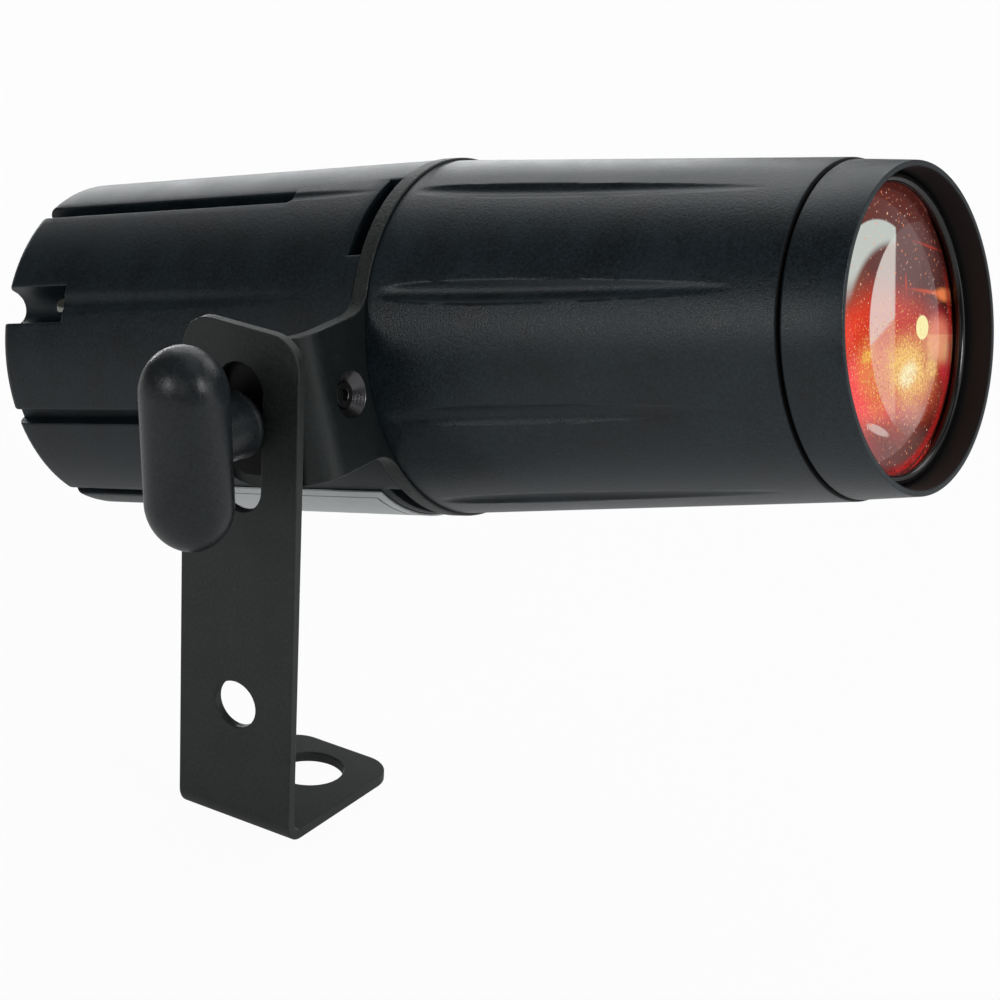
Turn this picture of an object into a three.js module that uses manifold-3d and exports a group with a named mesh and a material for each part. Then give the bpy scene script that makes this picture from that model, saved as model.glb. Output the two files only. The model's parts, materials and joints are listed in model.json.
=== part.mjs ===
// A small stage spotlight: a cast cylinder housing with a tapered barrel and a deep front hood, carried
// at its side by a bent sheet arm with a slotted pivot, a T-shaped clamp knob and a small foot with a
// bolt hole.
//
// Frame: +Z up along the arm, lamp aimed along +X and pitched up, knob on the -Y side. The origin is the
// centre of the foot's bolt hole, on the foot's underside. All lengths are millimetres.

import * as THREE from "three";
import { mergeVertices } from "three/addons/utils/BufferGeometryUtils.js";
import Module from "manifold-3d";

const wasm = await Module();
wasm.setup();

// Fits
const seatGap = 0.3; // between pieces that rest on each other
const shankGap = 0.2; // round a shank in its bore
const slideGap = 0.2; // beside the faces that slide on the arm
const overrun = 2; // how far a cutter runs past the material
const weldDistance = 0.001; // vertices closer than this are one

// Mounting arm, bent from one sheet
const armWidth = 25.1;
const armHeight = 97.9;
const armSheet = 2;
const armBendRadius = 4;
const armTopRadius = 6;
const footDepth = 34.9;
const footCornerRadius = 6;
const footHoleRadius = 6.5;
const footHoleInset = 23.8; // from the arm's outer face to the hole's centre
const armHoleRadius = 4.5;
const armHoleHeight = 25.1;
const slotWidth = 9.6;
const slotTopInset = 11.5; // from the arm's top to the slot's upper centre
const slotTravel = 18.3; // between the slot's two centres

// Pivot
const pivotDrop = 17.7; // from the arm's top to the pivot
const armToAxis = 55; // from the arm's outer face to the lamp's axis
const pitchDegrees = 14.3;
const studRadius = 3;
const bushFlangeRadius = 10.5;
const bushFlangeThickness = 1;
const washerRadius = 5.5;
const washerThickness = 1.4;
const nutAcrossFlats = 10;
const nutThickness = 4.6;

// Clamp knob
const knobBarWidth = 15.7;
const knobBarDepth = 14;
const knobBarLength = 36.7;
const knobBarStandoff = 15; // from the arm's outer face to the bar's centre
const knobHubRadius = 6.4;
const knobHubTaper = 0.8;
const knobLeanDegrees = -4.2;

// Yoke plate, a flat ring with a tab that is bent back into an ear
const plateSheet = 3.1;
const plateRadius = 33.2;
const plateBoreRadius = 24;
const plateRearStation = 9.3; // ahead of the pivot
const plateTabHalfWidth = 13.2;
const plateFilletRadius = 6;
const plateBendRadius = 8;
const yokeScrewReach = 38.3; // from the lamp's axis
const yokeScrewShank = 1.5;
const yokeScrewHead = 2.5;
const yokeScrewSink = 1.75; // from the tab's face down to the screw's flat head
const yokeScrewLength = 8;
const yokeSocketAcross = 2;
const yokeSocketDepth = 1.1;

// Rear housing
const housingRearStation = 76.2; // behind the pivot
const housingRearRadius = 31.8;
const housingFrontRadius = 33;
const housingEdgeRadius = 2;
const housingBoreRadius = 26.5;
const housingMouthRadius = 27.5;
const slotCutWidth = 3;
const slotCutDepth = 2.6;
const slotCutEnd = 14.2; // behind the pivot
const labelSlotEnd = 45; // behind the pivot, for the slots beside the label
const boltCircleRadius = 28.9;
const boltShank = 1.25;
const boltHeadRadius = 2.25;
const boltHeadHeight = 2;
const boltBossWall = 1.6;
const recessLength = 15.5;
const recessHalfWidth = 3.65;
const ventLength = 3.1;
const ventInnerRadius = 24.5;
const grooveRadius = 2;
const grooveDepth = 0.7;
const shallowGrooveDepth = 0.5;
const lugHalfHeight = 5;
const lugWall = 2;
const lugLength = 8;

// Rear panel and what it carries
const panelRecess = 3;
const panelThickness = 1.9;
const panelScrewInset = 3.3; // from the housing's mouth to a screw's centre
const panelScrewShank = 1.25;
const panelScrewHead = 2.2;
const panelScrewHeadHeight = 1.2;
const panelScrewLength = 7;
const panelLugRadius = 3;
const panelLugLength = 9;
const windowWidth = 24;
const windowHeight = 10;
const windowCentre = 10.5; // above the lamp's axis
const buttonRadius = 2.2;
const buttonFlange = 0.7;
const buttonPitch = 8.4;
const buttonRow = -0.6; // above the lamp's axis
const buttonProud = 1.2;
const buttonTravel = 0.5;
const buttonStopGap = 0.2;
const inletBarrelRadius = 4.9;
const inletRow = -14.6;
const dataBarrelRadius = 4.5;
const dataRow = -10.3;
const dataSpread = 12.9;
const socketFlange = 1.4;
const socketFlangeThickness = 1.4;
const socketLength = 11;
const socketNutThickness = 2.2;
const socketWall = 1;
const socketGroove = 0.8;
const socketGrooveDepth = 3.2;
const contactRadius = 0.5;
const contactCircleShare = 0.55;

// Control board behind the panel
const boardThickness = 1.6;
const controlGap = 6.3; // between the panel's inner face and the board
const controlSideGap = 3.7; // beside the panel's lugs
const controlLow = -3.6;
const controlHigh = 17.4;
const standoffRadius = 2;
const standoffSpread = 15;
const standoffRow = 14.8;
const switchSide = 6;
const moduleInset = 1;

// Driver board on its tray
const trayThickness = 1.5;
const trayHalfWidth = 17.5;
const trayFloor = -13.5;
const trayTabHeight = 9;
const trayRear = 57; // behind the pivot
const trayScrewSpread = 12;
const trayScrewShank = 1.25;
const trayScrewHead = 2.2;
const trayScrewHeadHeight = 1.4;
const trayScrewLength = 6;
const spacerHeight = 3.4;
const spacerRadius = 2.4;
const spacerPinRadius = 1.1;
const driverHalfWidth = 17;
const driverRear = 56; // behind the pivot
const driverFront = 9; // behind the pivot
const driverEdge = 3.5; // from a spacer's centre to the board's edges
const transformerSize = { length: 18, width: 18, height: 15 };
const transformerCentre = 36; // behind the pivot
const capacitorRadius = 6;
const capacitorHeight = 17;
const chokeRadius = 5;
const chokeBore = 2.2;
const chokeHeight = 7;
const capacitorStation = 17.5; // behind the pivot
const capacitorSide = 9;
const terminalSize = { length: 7, width: 15, height: 8 };

// Inner leads
const leadRadius = 0.8;
const mainsLeadRadius = 1.3;
const leadSides = 6;

// Light engine
const sinkThickness = 8;
const sinkFinLength = 7;
const sinkFinThickness = 1.5;
const sinkFinPitch = 5;
const sinkFinHalfWidth = 15;
const sinkFinFloor = -2;
const sinkFinCount = 5;
const topFinWidthShare = 0.7;
const ledBoardRadius = 17.5;
const ledScrewCircle = 15.2;
const ledScrewHead = 1.9;
const ledScrewHeadHeight = 1.2;
const ledScrewShank = 1;
const ledScrewLength = 5;
const emitterRadius = 3;
const emitterBase = 1;
const emitterBaseShare = 1.15;
const emitterDomeShare = 0.95;
const emitterRiseShare = 0.7;
const collimatorRearRadius = 4.4;
const collimatorFrontRadius = 10;
const collimatorLength = 11;
const collimatorRim = 1;
const holderWall = 1.4;
const holderLip = 1.2;

// Front barrel, hood and lens
const barrelLength = 80.7;
const barrelRearRadius = 32.7;
const barrelFrontRadius = 29.1;
const barrelWall = 2.6;
const barrelFlangeRadius = 24.6;
const barrelFlangeLength = 6;
const barrelEdge = 0.5;
const fluteRadius = 2.6;
const fluteDepth = 0.85;
const fluteInset = 2.6;
const fluteFade = 6;
const fluteSkewShare = 0.6; // below 1 puts the deepest place nearer the rear end
const fluteLiftShare = 0.05;
const bezelLength = 11.5;
const bezelFrontRadius = 28.4;
const bezelWall = 1.1;
const spigotLength = 8;
const spigotRadius = 27.1;
const lensClearRadius = 24.8;
const lensSeatWidth = 1.9;
const lensEdgeThickness = 2.2;
const lensFrontRise = 5.2;
const lensRearRise = 3.4;
const lensInset = 6.2; // from the rim back to the lens's front edge
const gasketThickness = 1.8;
const shoulderRadius = 24.2;

// Rating label
const labelThickness = 0.3;
const labelRear = 39; // behind the pivot
const labelFront = 4.2; // ahead of the pivot
const labelHalfDegrees = 47.5;

// Counts and directions round the lamp's axis, in degrees from the top towards the near side
const tubeSteps = 45;
const roundSteps = 24;
const smallSteps = 12;
const flutePitchDegrees = 40;
const fluteFirstDegrees = 21;
const boltDegrees = [61, 181, 301];
const longSlotDegrees = [21, 101, 261, 341];
const labelSlotDegrees = [141, 221];
const ventDegrees = [31, 149, 211, 329];
const ventSpanDegrees = 34;
const nearSideDegrees = 90;
const undersideDegrees = 180;
const panelScrewDegrees = [0, 90, 270];

// Stations along the lamp's axis, positive ahead of the pivot
const plateRear = plateRearStation;
const plateFront = plateRear + plateSheet;
const housingRear = -housingRearStation;
const housingFront = plateRear - seatGap;
const barrelRear = plateFront + seatGap;
const barrelFront = barrelRear + barrelLength;
const bezelRear = barrelFront + seatGap;
const rim = bezelRear + bezelLength;
const panelOuter = housingRear + panelRecess;
const panelInner = panelOuter + panelThickness;
const controlRear = panelInner + controlGap;
const sinkFront = housingFront;
const sinkRear = sinkFront - sinkThickness;
const ledBoardRear = sinkFront + seatGap;
const ledBoardFront = ledBoardRear + boardThickness;

// Heights on the arm, above the foot's underside
const pivotHeight = armHeight - pivotDrop;
const slotHighCentre = armHeight - slotTopInset;
const slotLowCentre = slotHighCentre - slotTravel;

// Reaches across the lamp's axis
const panelScrewCircle = housingMouthRadius - panelScrewInset;
const controlHalfWidth = panelScrewCircle - panelLugRadius - controlSideGap;
const housingReach = Math.max(housingRearRadius, housingFrontRadius) + overrun;

// Planes across the arm, measured from the arm's outer face towards the lamp
const flangeNear = armSheet + slideGap;
const flangeFar = flangeNear + bushFlangeThickness;
const earNear = flangeFar + seatGap;
const earFar = earNear + plateSheet;
const nutNear = earFar + seatGap;
const nutFar = nutNear + nutThickness;

const radians = THREE.MathUtils.degToRad;

// Solids and booleans
function toSolid(geometry) {
  const bare = new THREE.BufferGeometry();
  bare.setAttribute("position", geometry.getAttribute("position"));
  bare.setIndex(geometry.index);
  const merged = mergeVertices(bare, weldDistance);
  const corners = merged.index.array;
  const kept = [];
  for (let i = 0; i < corners.length; i += 3) {
    const [a, b, c] = corners.slice(i, i + 3);
    if (a !== b && b !== c && c !== a) kept.push(a, b, c);
  }
  const vertProperties = new Float32Array(merged.getAttribute("position").array);
  const mesh = new wasm.Mesh({ numProp: 3, vertProperties, triVerts: new Uint32Array(kept) });
  return new wasm.Manifold(mesh);
}

function toGeometry(solid) {
  const mesh = solid.getMesh();
  const geometry = new THREE.BufferGeometry();
  geometry.setAttribute("position", new THREE.BufferAttribute(mesh.vertProperties, 3));
  geometry.setIndex(new THREE.BufferAttribute(mesh.triVerts, 1));
  geometry.computeVertexNormals();
  return geometry;
}

const fuse = (first, ...others) =>
  toGeometry(others.reduce((solid, other) => solid.add(toSolid(other)), toSolid(first)));
const cut = (first, ...others) =>
  toGeometry(others.reduce((solid, other) => solid.subtract(toSolid(other)), toSolid(first)));
const common = (first, ...others) =>
  toGeometry(others.reduce((solid, other) => solid.intersect(toSolid(other)), toSolid(first)));

// Outlines
function rectangle(left, right, low, high) {
  const shape = new THREE.Shape();
  shape.moveTo(left, low);
  shape.lineTo(right, low);
  shape.lineTo(right, high);
  shape.lineTo(left, high);
  shape.closePath();
  return shape;
}

function disc(centreX, centreY, radius) {
  const shape = new THREE.Shape();
  shape.absarc(centreX, centreY, radius, 0, 2 * Math.PI);
  return shape;
}

// A rectangle whose two upper corners are round.
function archedRectangle(left, right, low, high, radius) {
  const shape = new THREE.Shape();
  shape.moveTo(left, low);
  shape.lineTo(right, low);
  shape.lineTo(right, high - radius);
  shape.absarc(right - radius, high - radius, radius, 0, Math.PI / 2);
  shape.lineTo(left + radius, high);
  shape.absarc(left + radius, high - radius, radius, Math.PI / 2, Math.PI);
  shape.closePath();
  return shape;
}

// An upright slot with round ends.
function slotOutline(lowCentre, highCentre, radius) {
  const shape = new THREE.Shape();
  shape.absarc(0, highCentre, radius, 0, Math.PI);
  shape.absarc(0, lowCentre, radius, Math.PI, 2 * Math.PI);
  shape.closePath();
  return shape;
}

// A sector of a flat ring, from one direction to another; directions run from the top towards -Y.
function ringSector(inner, outer, fromDegrees, toDegrees) {
  const start = Math.PI / 2 + radians(fromDegrees);
  const end = Math.PI / 2 + radians(toDegrees);
  const shape = new THREE.Shape();
  shape.absarc(0, 0, outer, start, end);
  shape.absarc(0, 0, inner, end, start, true);
  shape.closePath();
  return shape;
}

// Prisms: the outline's plane and the direction it is drawn out in
function extrude(shape, depth, curveSegments = smallSteps / 2) {
  return new THREE.ExtrudeGeometry(shape, { depth, bevelEnabled: false, curveSegments });
}

// Outline in the Y-Z plane, drawn from one X to another.
function alongX(shape, from, to, curveSegments) {
  const basis = new THREE.Matrix4().makeBasis(
    new THREE.Vector3(0, 1, 0),
    new THREE.Vector3(0, 0, 1),
    new THREE.Vector3(1, 0, 0),
  );
  return extrude(shape, to - from, curveSegments).applyMatrix4(basis).translate(from, 0, 0);
}

// Outline in the X-Z plane, drawn from one Y to another.
function alongY(shape, from, to, curveSegments) {
  return extrude(shape, to - from, curveSegments).rotateX(Math.PI / 2).translate(0, to, 0);
}

// Outline in the X-Y plane, drawn from one Z to another.
function alongZ(shape, from, to, curveSegments) {
  return extrude(shape, to - from, curveSegments).translate(0, 0, from);
}

// Turned shapes
function profileArea(points) {
  return points.reduce((sum, [x, y], i) => {
    const [nextX, nextY] = points[(i + 1) % points.length];
    return sum + (x * nextY - nextX * y) / 2;
  }, 0);
}

// A profile of [station, radius] pairs turned about the Y axis; its area is closed.
function turnY(profile, steps = smallSteps) {
  const ordered = profileArea(profile) < 0 ? profile : [...profile].reverse();
  const points = [...ordered, ordered[0]].map(([station, radius]) => new THREE.Vector2(radius, station));
  return new THREE.LatheGeometry(points, steps);
}

const turnX = (profile, steps = smallSteps) => turnY(profile, steps).rotateZ(-Math.PI / 2);
const rodX = (radius, from, to, steps = smallSteps) =>
  turnX([[from, 0], [from, radius], [to, radius], [to, 0]], steps);
const rodY = (radius, from, to, steps = smallSteps) =>
  turnY([[from, 0], [from, radius], [to, radius], [to, 0]], steps);
const tubeX = (inner, outer, from, to, steps = smallSteps) =>
  turnX([[from, inner], [from, outer], [to, outer], [to, inner]], steps);
const tubeY = (inner, outer, from, to, steps = smallSteps) =>
  turnY([[from, inner], [from, outer], [to, outer], [to, inner]], steps);

function boxBetween([x0, y0, z0], [x1, y1, z1]) {
  return new THREE.BoxGeometry(x1 - x0, y1 - y0, z1 - z0)
    .translate((x0 + x1) / 2, (y0 + y1) / 2, (z0 + z1) / 2);
}

// Turns a shape made at the top of the lamp to its direction round the axis.
const around = (geometry, degrees) => geometry.rotateX(radians(degrees));

// A groove along the lamp: a round cutter that sinks into a tapered surface by a varying depth.
function grooveCutter(from, to, radius, surfaceAt, depthAt) {
  const sides = 10;
  const steps = 8;
  const geometry = new THREE.CylinderGeometry(radius, radius, to - from, sides, steps);
  geometry.rotateZ(-Math.PI / 2).translate((from + to) / 2, 0, 0);
  const position = geometry.getAttribute("position");
  for (let i = 0; i < position.count; i += 1) {
    const x = position.getX(i);
    const share = THREE.MathUtils.clamp((x - from) / (to - from), 0, 1);
    const lift = surfaceAt(x) + radius - depthAt(share);
    position.setZ(i, position.getZ(i) + lift);
  }
  return geometry;
}

// Scene graph
const lamp = new THREE.Group();
const armGroup = new THREE.Group();
const clampGroup = new THREE.Group();
const headGroup = new THREE.Group();
armGroup.position.set(0, -footHoleInset, 0);
clampGroup.position.set(0, -footHoleInset, pivotHeight);
headGroup.position.set(0, armToAxis - footHoleInset, pivotHeight);
headGroup.rotation.y = -radians(pitchDegrees);
lamp.add(armGroup, clampGroup, headGroup);

const finishes = {
  satinBlackPaint: { color: 0x17191b, roughness: 0.5, metalness: 0.1 },
  blackPlastic: { color: 0x1b1c1e, roughness: 0.6, metalness: 0 },
  zincSteel: { color: 0xa9acae, roughness: 0.35, metalness: 1 },
  blackSteel: { color: 0x1e1f20, roughness: 0.4, metalness: 0.8 },
  nylon: { color: 0x222224, roughness: 0.55, metalness: 0 },
  glass: { color: 0xe8eef0, roughness: 0.02, metalness: 0, transparent: true, opacity: 0.35 },
  glossRubber: { color: 0x08090a, roughness: 0.2, metalness: 0 },
  aluminium: { color: 0xb9bcbe, roughness: 0.45, metalness: 1 },
  blackAnodised: { color: 0x202224, roughness: 0.4, metalness: 0.6 },
  circuitBoard: { color: 0x1d5a35, roughness: 0.6, metalness: 0 },
  whiteBoard: { color: 0xdedfdc, roughness: 0.6, metalness: 0 },
  redEmitter: { color: 0xe0341c, roughness: 0.3, metalness: 0 },
  clearAcrylic: { color: 0xf0f2f2, roughness: 0.05, metalness: 0, transparent: true, opacity: 0.4 },
  smokedAcrylic: { color: 0x1a1214, roughness: 0.1, metalness: 0 },
  moduleGrey: { color: 0x3a3b3d, roughness: 0.5, metalness: 0 },
  copperWinding: { color: 0xa3602f, roughness: 0.45, metalness: 0.7 },
  capacitorSleeve: { color: 0x1f2d45, roughness: 0.4, metalness: 0 },
  terminalGreen: { color: 0x2f7d4a, roughness: 0.5, metalness: 0 },
  redLead: { color: 0x9c2a22, roughness: 0.55, metalness: 0 },
  labelSilver: { color: 0xd3d7d8, roughness: 0.35, metalness: 0.2 },
};

function addPiece(parent, name, geometry, finish) {
  const material = new THREE.MeshStandardMaterial(finishes[finish]);
  const mesh = new THREE.Mesh(toGeometry(toSolid(geometry)), material);
  mesh.name = name;
  parent.add(mesh);
  return mesh;
}

// Mounting arm: an L-shaped strip, trimmed to its outlines seen from the front and from above
function mountArm() {
  const strip = new THREE.Shape();
  const inner = armBendRadius - armSheet;
  strip.moveTo(0, armHeight);
  strip.lineTo(0, armBendRadius);
  strip.absarc(armBendRadius, armBendRadius, armBendRadius, Math.PI, 1.5 * Math.PI);
  strip.lineTo(footDepth, 0);
  strip.lineTo(footDepth, armSheet);
  strip.lineTo(armBendRadius, armSheet);
  strip.absarc(armBendRadius, armBendRadius, inner, 1.5 * Math.PI, Math.PI, true);
  strip.lineTo(armSheet, armHeight);
  strip.closePath();
  const half = armWidth / 2;
  const frontView = archedRectangle(-half, half, -overrun, armHeight, armTopRadius);
  const topView = archedRectangle(-half, half, -overrun, footDepth, footCornerRadius);
  const blank = common(
    alongX(strip, -half - overrun, half + overrun),
    alongY(frontView, -overrun, footDepth + overrun),
    alongZ(topView, -overrun, armHeight + overrun),
  );
  return cut(
    blank,
    alongY(slotOutline(slotLowCentre, slotHighCentre, slotWidth / 2), -overrun, armSheet + overrun),
    rodY(armHoleRadius, -overrun, armSheet + overrun, roundSteps).translate(0, 0, armHoleHeight),
    alongZ(disc(0, footHoleInset, footHoleRadius), -overrun, armSheet + overrun, smallSteps),
  );
}

addPiece(armGroup, "mount_arm", mountArm(), "satinBlackPaint");

// Pivot clamp: bush in the slot, washer, knob and stud, all about the pivot axis
const studBore = studRadius + shankGap;

function slotBush() {
  const sleeve = slotWidth / 2 - slideGap;
  return turnY([
    [seatGap, studBore],
    [seatGap, sleeve],
    [flangeNear, sleeve],
    [flangeNear, bushFlangeRadius],
    [flangeFar, bushFlangeRadius],
    [flangeFar, studBore],
  ], roundSteps);
}

const washerNear = -slideGap - washerThickness;
const hubNear = washerNear - seatGap;
const studHead = -knobBarStandoff;

function clampKnob() {
  const bar = new THREE.CapsuleGeometry(knobBarWidth / 2, knobBarLength - knobBarWidth, 6, 20, 1)
    .scale(1, 1, knobBarDepth / knobBarWidth)
    .rotateX(Math.PI / 2)
    .translate(0, -knobBarStandoff, 0);
  const hub = turnY([
    [-knobBarStandoff, 0],
    [-knobBarStandoff, knobHubRadius - knobHubTaper],
    [hubNear - knobHubTaper, knobHubRadius],
    [hubNear, knobHubRadius - knobHubTaper / 2],
    [hubNear, 0],
  ], roundSteps);
  return cut(fuse(bar, hub), rodY(studBore, studHead - shankGap, overrun));
}

addPiece(clampGroup, "slot_bush", slotBush(), "nylon");
addPiece(clampGroup, "thrust_washer",
  tubeY(studBore, washerRadius, washerNear, -slideGap, roundSteps), "blackSteel");
addPiece(clampGroup, "clamp_knob", clampKnob(), "blackPlastic").rotation.y = radians(knobLeanDegrees);
addPiece(clampGroup, "clamp_stud", rodY(studRadius, studHead, nutFar), "zincSteel");

// Yoke plate: a sheet profile trimmed to its outlines seen from the front and from the side
const earOuter = earNear - armToAxis;
const earInner = earFar - armToAxis;

// The flat ring's outline with its tab, drawn with hollow corners where the two meet.
function plateFrontView() {
  const cornerDistance = plateRadius + plateFilletRadius;
  const cornerHeight = plateTabHalfWidth + plateFilletRadius;
  const cornerReach = Math.sqrt(cornerDistance ** 2 - cornerHeight ** 2);
  const meet = Math.atan2(cornerHeight, -cornerReach);
  const shape = new THREE.Shape();
  shape.absarc(0, 0, plateRadius, -meet, meet);
  shape.absarc(-cornerReach, cornerHeight, plateFilletRadius, meet - Math.PI, -Math.PI / 2, true);
  shape.lineTo(earOuter - overrun, plateTabHalfWidth);
  shape.lineTo(earOuter - overrun, -plateTabHalfWidth);
  shape.absarc(-cornerReach, -cornerHeight, plateFilletRadius, Math.PI / 2, Math.PI - meet, true);
  shape.closePath();
  return shape;
}

function plateSideView() {
  const shape = new THREE.Shape();
  shape.absarc(0, 0, plateTabHalfWidth, Math.PI / 2, 1.5 * Math.PI);
  shape.lineTo(plateRear, -plateTabHalfWidth);
  shape.lineTo(plateRear, -plateRadius - overrun);
  shape.lineTo(plateFront + overrun, -plateRadius - overrun);
  shape.lineTo(plateFront + overrun, plateRadius + overrun);
  shape.lineTo(plateRear, plateRadius + overrun);
  shape.lineTo(plateRear, plateTabHalfWidth);
  shape.closePath();
  return shape;
}

function yokePlate() {
  const bendX = plateFront - plateBendRadius;
  const bendY = earOuter + plateBendRadius;
  const strip = new THREE.Shape();
  strip.moveTo(plateFront, plateRadius + overrun);
  strip.lineTo(plateRear, plateRadius + overrun);
  strip.lineTo(plateRear, bendY);
  strip.absarc(bendX, bendY, plateBendRadius - plateSheet, 0, -Math.PI / 2, true);
  strip.lineTo(-plateTabHalfWidth - overrun, earInner);
  strip.lineTo(-plateTabHalfWidth - overrun, earOuter);
  strip.lineTo(bendX, earOuter);
  strip.absarc(bendX, bendY, plateBendRadius, -Math.PI / 2, 0);
  strip.closePath();
  const blank = common(
    alongZ(strip, -plateRadius - overrun, plateRadius + overrun, smallSteps / 2),
    alongX(plateFrontView(), -plateTabHalfWidth - overrun, plateFront + overrun, smallSteps),
    alongY(plateSideView(), earOuter - overrun, plateRadius + overrun, smallSteps),
  );
  const boltHoles = boltDegrees.map((degrees) =>
    around(rodX(boltShank + shankGap, plateRear - overrun, plateFront + overrun)
      .translate(0, 0, boltCircleRadius), degrees));
  const screwBore = yokeScrewShank + shankGap;
  const sinkRadius = yokeScrewHead + yokeScrewSink;
  return cut(
    blank,
    rodX(plateBoreRadius, plateRear - overrun, plateFront + overrun, tubeSteps),
    turnX([
      [plateRear - overrun, 0],
      [plateRear - overrun, screwBore],
      [plateFront - sinkRadius + screwBore, screwBore],
      [plateFront, sinkRadius],
      [plateFront + overrun, sinkRadius],
      [plateFront + overrun, 0],
    ], roundSteps).translate(0, -yokeScrewReach, 0),
    rodY(studBore, earOuter - overrun, earInner + overrun),
    ...boltHoles,
  );
}

function weldNut() {
  const hexRadius = nutAcrossFlats / Math.sqrt(3);
  return cut(
    new THREE.CylinderGeometry(hexRadius, hexRadius, nutThickness, 6).translate(0, (nutNear + nutFar) / 2, 0),
    rodY(studBore, nutNear - overrun, nutFar + overrun),
  ).translate(0, -armToAxis, 0);
}

function yokeScrew() {
  const head = plateFront - yokeScrewSink;
  const headRadius = yokeScrewHead - shankGap;
  const neck = head - headRadius + yokeScrewShank;
  const blank = turnX([
    [head, 0],
    [head, headRadius],
    [neck, yokeScrewShank],
    [head - yokeScrewLength, yokeScrewShank],
    [head - yokeScrewLength, 0],
  ], smallSteps);
  const socketRadius = yokeSocketAcross / Math.sqrt(3);
  return cut(blank, rodX(socketRadius, head - yokeSocketDepth, head + overrun, 6))
    .translate(0, -yokeScrewReach, 0);
}

addPiece(headGroup, "yoke_plate", yokePlate(), "satinBlackPaint");
addPiece(headGroup, "weld_nut", weldNut(), "zincSteel");
addPiece(headGroup, "yoke_screw", yokeScrew(), "blackSteel");

// Rear housing
const housingSlope = (housingFrontRadius - housingRearRadius) / (housingFront - housingRear);
const housingRadiusAt = (station) => housingRearRadius + (station - housingRear) * housingSlope;
const recessWall = housingRear + recessLength;
const bossRadius = recessHalfWidth + boltBossWall;
const ledge = panelInner + seatGap;
const sinkSeat = sinkRear - seatGap;

// A round rear edge as [station, radius] pairs, from the end face to the side.
function roundedEdge(end, radius, edgeRadius, steps = 4) {
  return Array.from({ length: steps + 1 }, (_, i) => {
    const turn = (Math.PI / 2) * (i / steps);
    return [end + edgeRadius * (1 - Math.sin(turn)), radius - edgeRadius * (1 - Math.cos(turn))];
  }).reverse();
}

function slotCutter(end) {
  const floor = housingRearRadius - slotCutDepth;
  return boxBetween(
    [housingRear - overrun, -slotCutWidth / 2, floor],
    [end, slotCutWidth / 2, housingReach],
  );
}

function recessCutter() {
  const shape = new THREE.Shape();
  shape.moveTo(recessHalfWidth, housingReach);
  shape.lineTo(-recessHalfWidth, housingReach);
  shape.lineTo(-recessHalfWidth, boltCircleRadius);
  shape.absarc(0, boltCircleRadius, recessHalfWidth, Math.PI, 2 * Math.PI);
  shape.closePath();
  return alongX(shape, housingRear - overrun, recessWall);
}

function rearHousing() {
  const shell = turnX([
    ...roundedEdge(housingRear, housingRearRadius, housingEdgeRadius),
    [housingFront, housingFrontRadius],
    [housingFront, housingMouthRadius],
    [sinkSeat, housingMouthRadius],
    [sinkSeat, housingBoreRadius],
    [ledge, housingBoreRadius],
    [ledge, housingMouthRadius],
    [housingRear, housingMouthRadius],
  ], tubeSteps);
  const bossLimit = rodX(housingRearRadius - housingEdgeRadius, housingRear, housingFront, tubeSteps);
  const bosses = boltDegrees.map((degrees) =>
    common(around(rodX(bossRadius, housingRear, housingFront)
      .translate(0, 0, boltCircleRadius), degrees), bossLimit));
  const panelLugs = panelScrewDegrees.map((degrees) =>
    around(fuse(
      rodX(panelLugRadius, ledge, ledge + panelLugLength).translate(0, 0, panelScrewCircle),
      boxBetween(
        [ledge, -panelLugRadius, panelScrewCircle],
        [ledge + panelLugLength, panelLugRadius, housingMouthRadius],
      ),
    ), degrees));
  const lugTop = yokeScrewReach + yokeScrewShank + lugWall;
  const plateLug = around(boxBetween(
    [housingFront - lugLength, -lugHalfHeight, housingMouthRadius],
    [housingFront, lugHalfHeight, lugTop],
  ), nearSideDegrees);
  const body = fuse(shell, ...bosses, ...panelLugs, plateLug);
  return cut(
    body,
    ...boltDegrees.map((degrees) => around(recessCutter(), degrees)),
    ...boltDegrees.map((degrees) => around(
      rodX(boltShank + shankGap, recessWall - overrun, housingFront + overrun)
        .translate(0, 0, boltCircleRadius), degrees)),
    ...longSlotDegrees.map((degrees) => around(slotCutter(-slotCutEnd), degrees)),
    ...labelSlotDegrees.map((degrees) => around(slotCutter(-labelSlotEnd), degrees)),
    ...longSlotDegrees.map((degrees) => around(grooveCutter(
      -slotCutEnd - overrun, housingFront - ventLength, grooveRadius, housingRadiusAt,
      (share) => shallowGrooveDepth * (1 - share)), degrees)),
    ...[boltDegrees[0], boltDegrees[2]].map((degrees) => around(grooveCutter(
      recessWall - overrun, -overrun, grooveRadius, housingRadiusAt,
      (share) => grooveDepth * (1 - share)), degrees)),
    ...ventDegrees.map((degrees) => alongX(
      ringSector(ventInnerRadius, housingReach,
        degrees - ventSpanDegrees / 2, degrees + ventSpanDegrees / 2),
      housingFront - ventLength, housingFront + overrun)),
    ...panelScrewDegrees.map((degrees) => around(
      rodX(panelScrewShank + shankGap, ledge - overrun, ledge + panelLugLength + overrun)
        .translate(0, 0, panelScrewCircle), degrees)),
    rodX(yokeScrewShank + shankGap, housingFront - lugLength - overrun, housingFront + overrun)
      .translate(0, -yokeScrewReach, 0),
  );
}

// Long bolts from the recesses in the rear rim through the plate into the barrel
function housingBolt(degrees) {
  const headFront = recessWall - seatGap;
  const headRear = headFront - boltHeadHeight;
  const tip = barrelRear + barrelFlangeLength;
  const blank = turnX([
    [headRear, 0],
    [headRear, boltHeadRadius],
    [headFront, boltHeadRadius],
    [headFront, boltShank],
    [tip, boltShank],
    [tip, 0],
  ], smallSteps);
  const socket = rodX(boltShank / 2, headRear - overrun, headRear + boltHeadHeight / 2, 6);
  return around(cut(blank, socket).translate(0, 0, boltCircleRadius), degrees);
}

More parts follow.
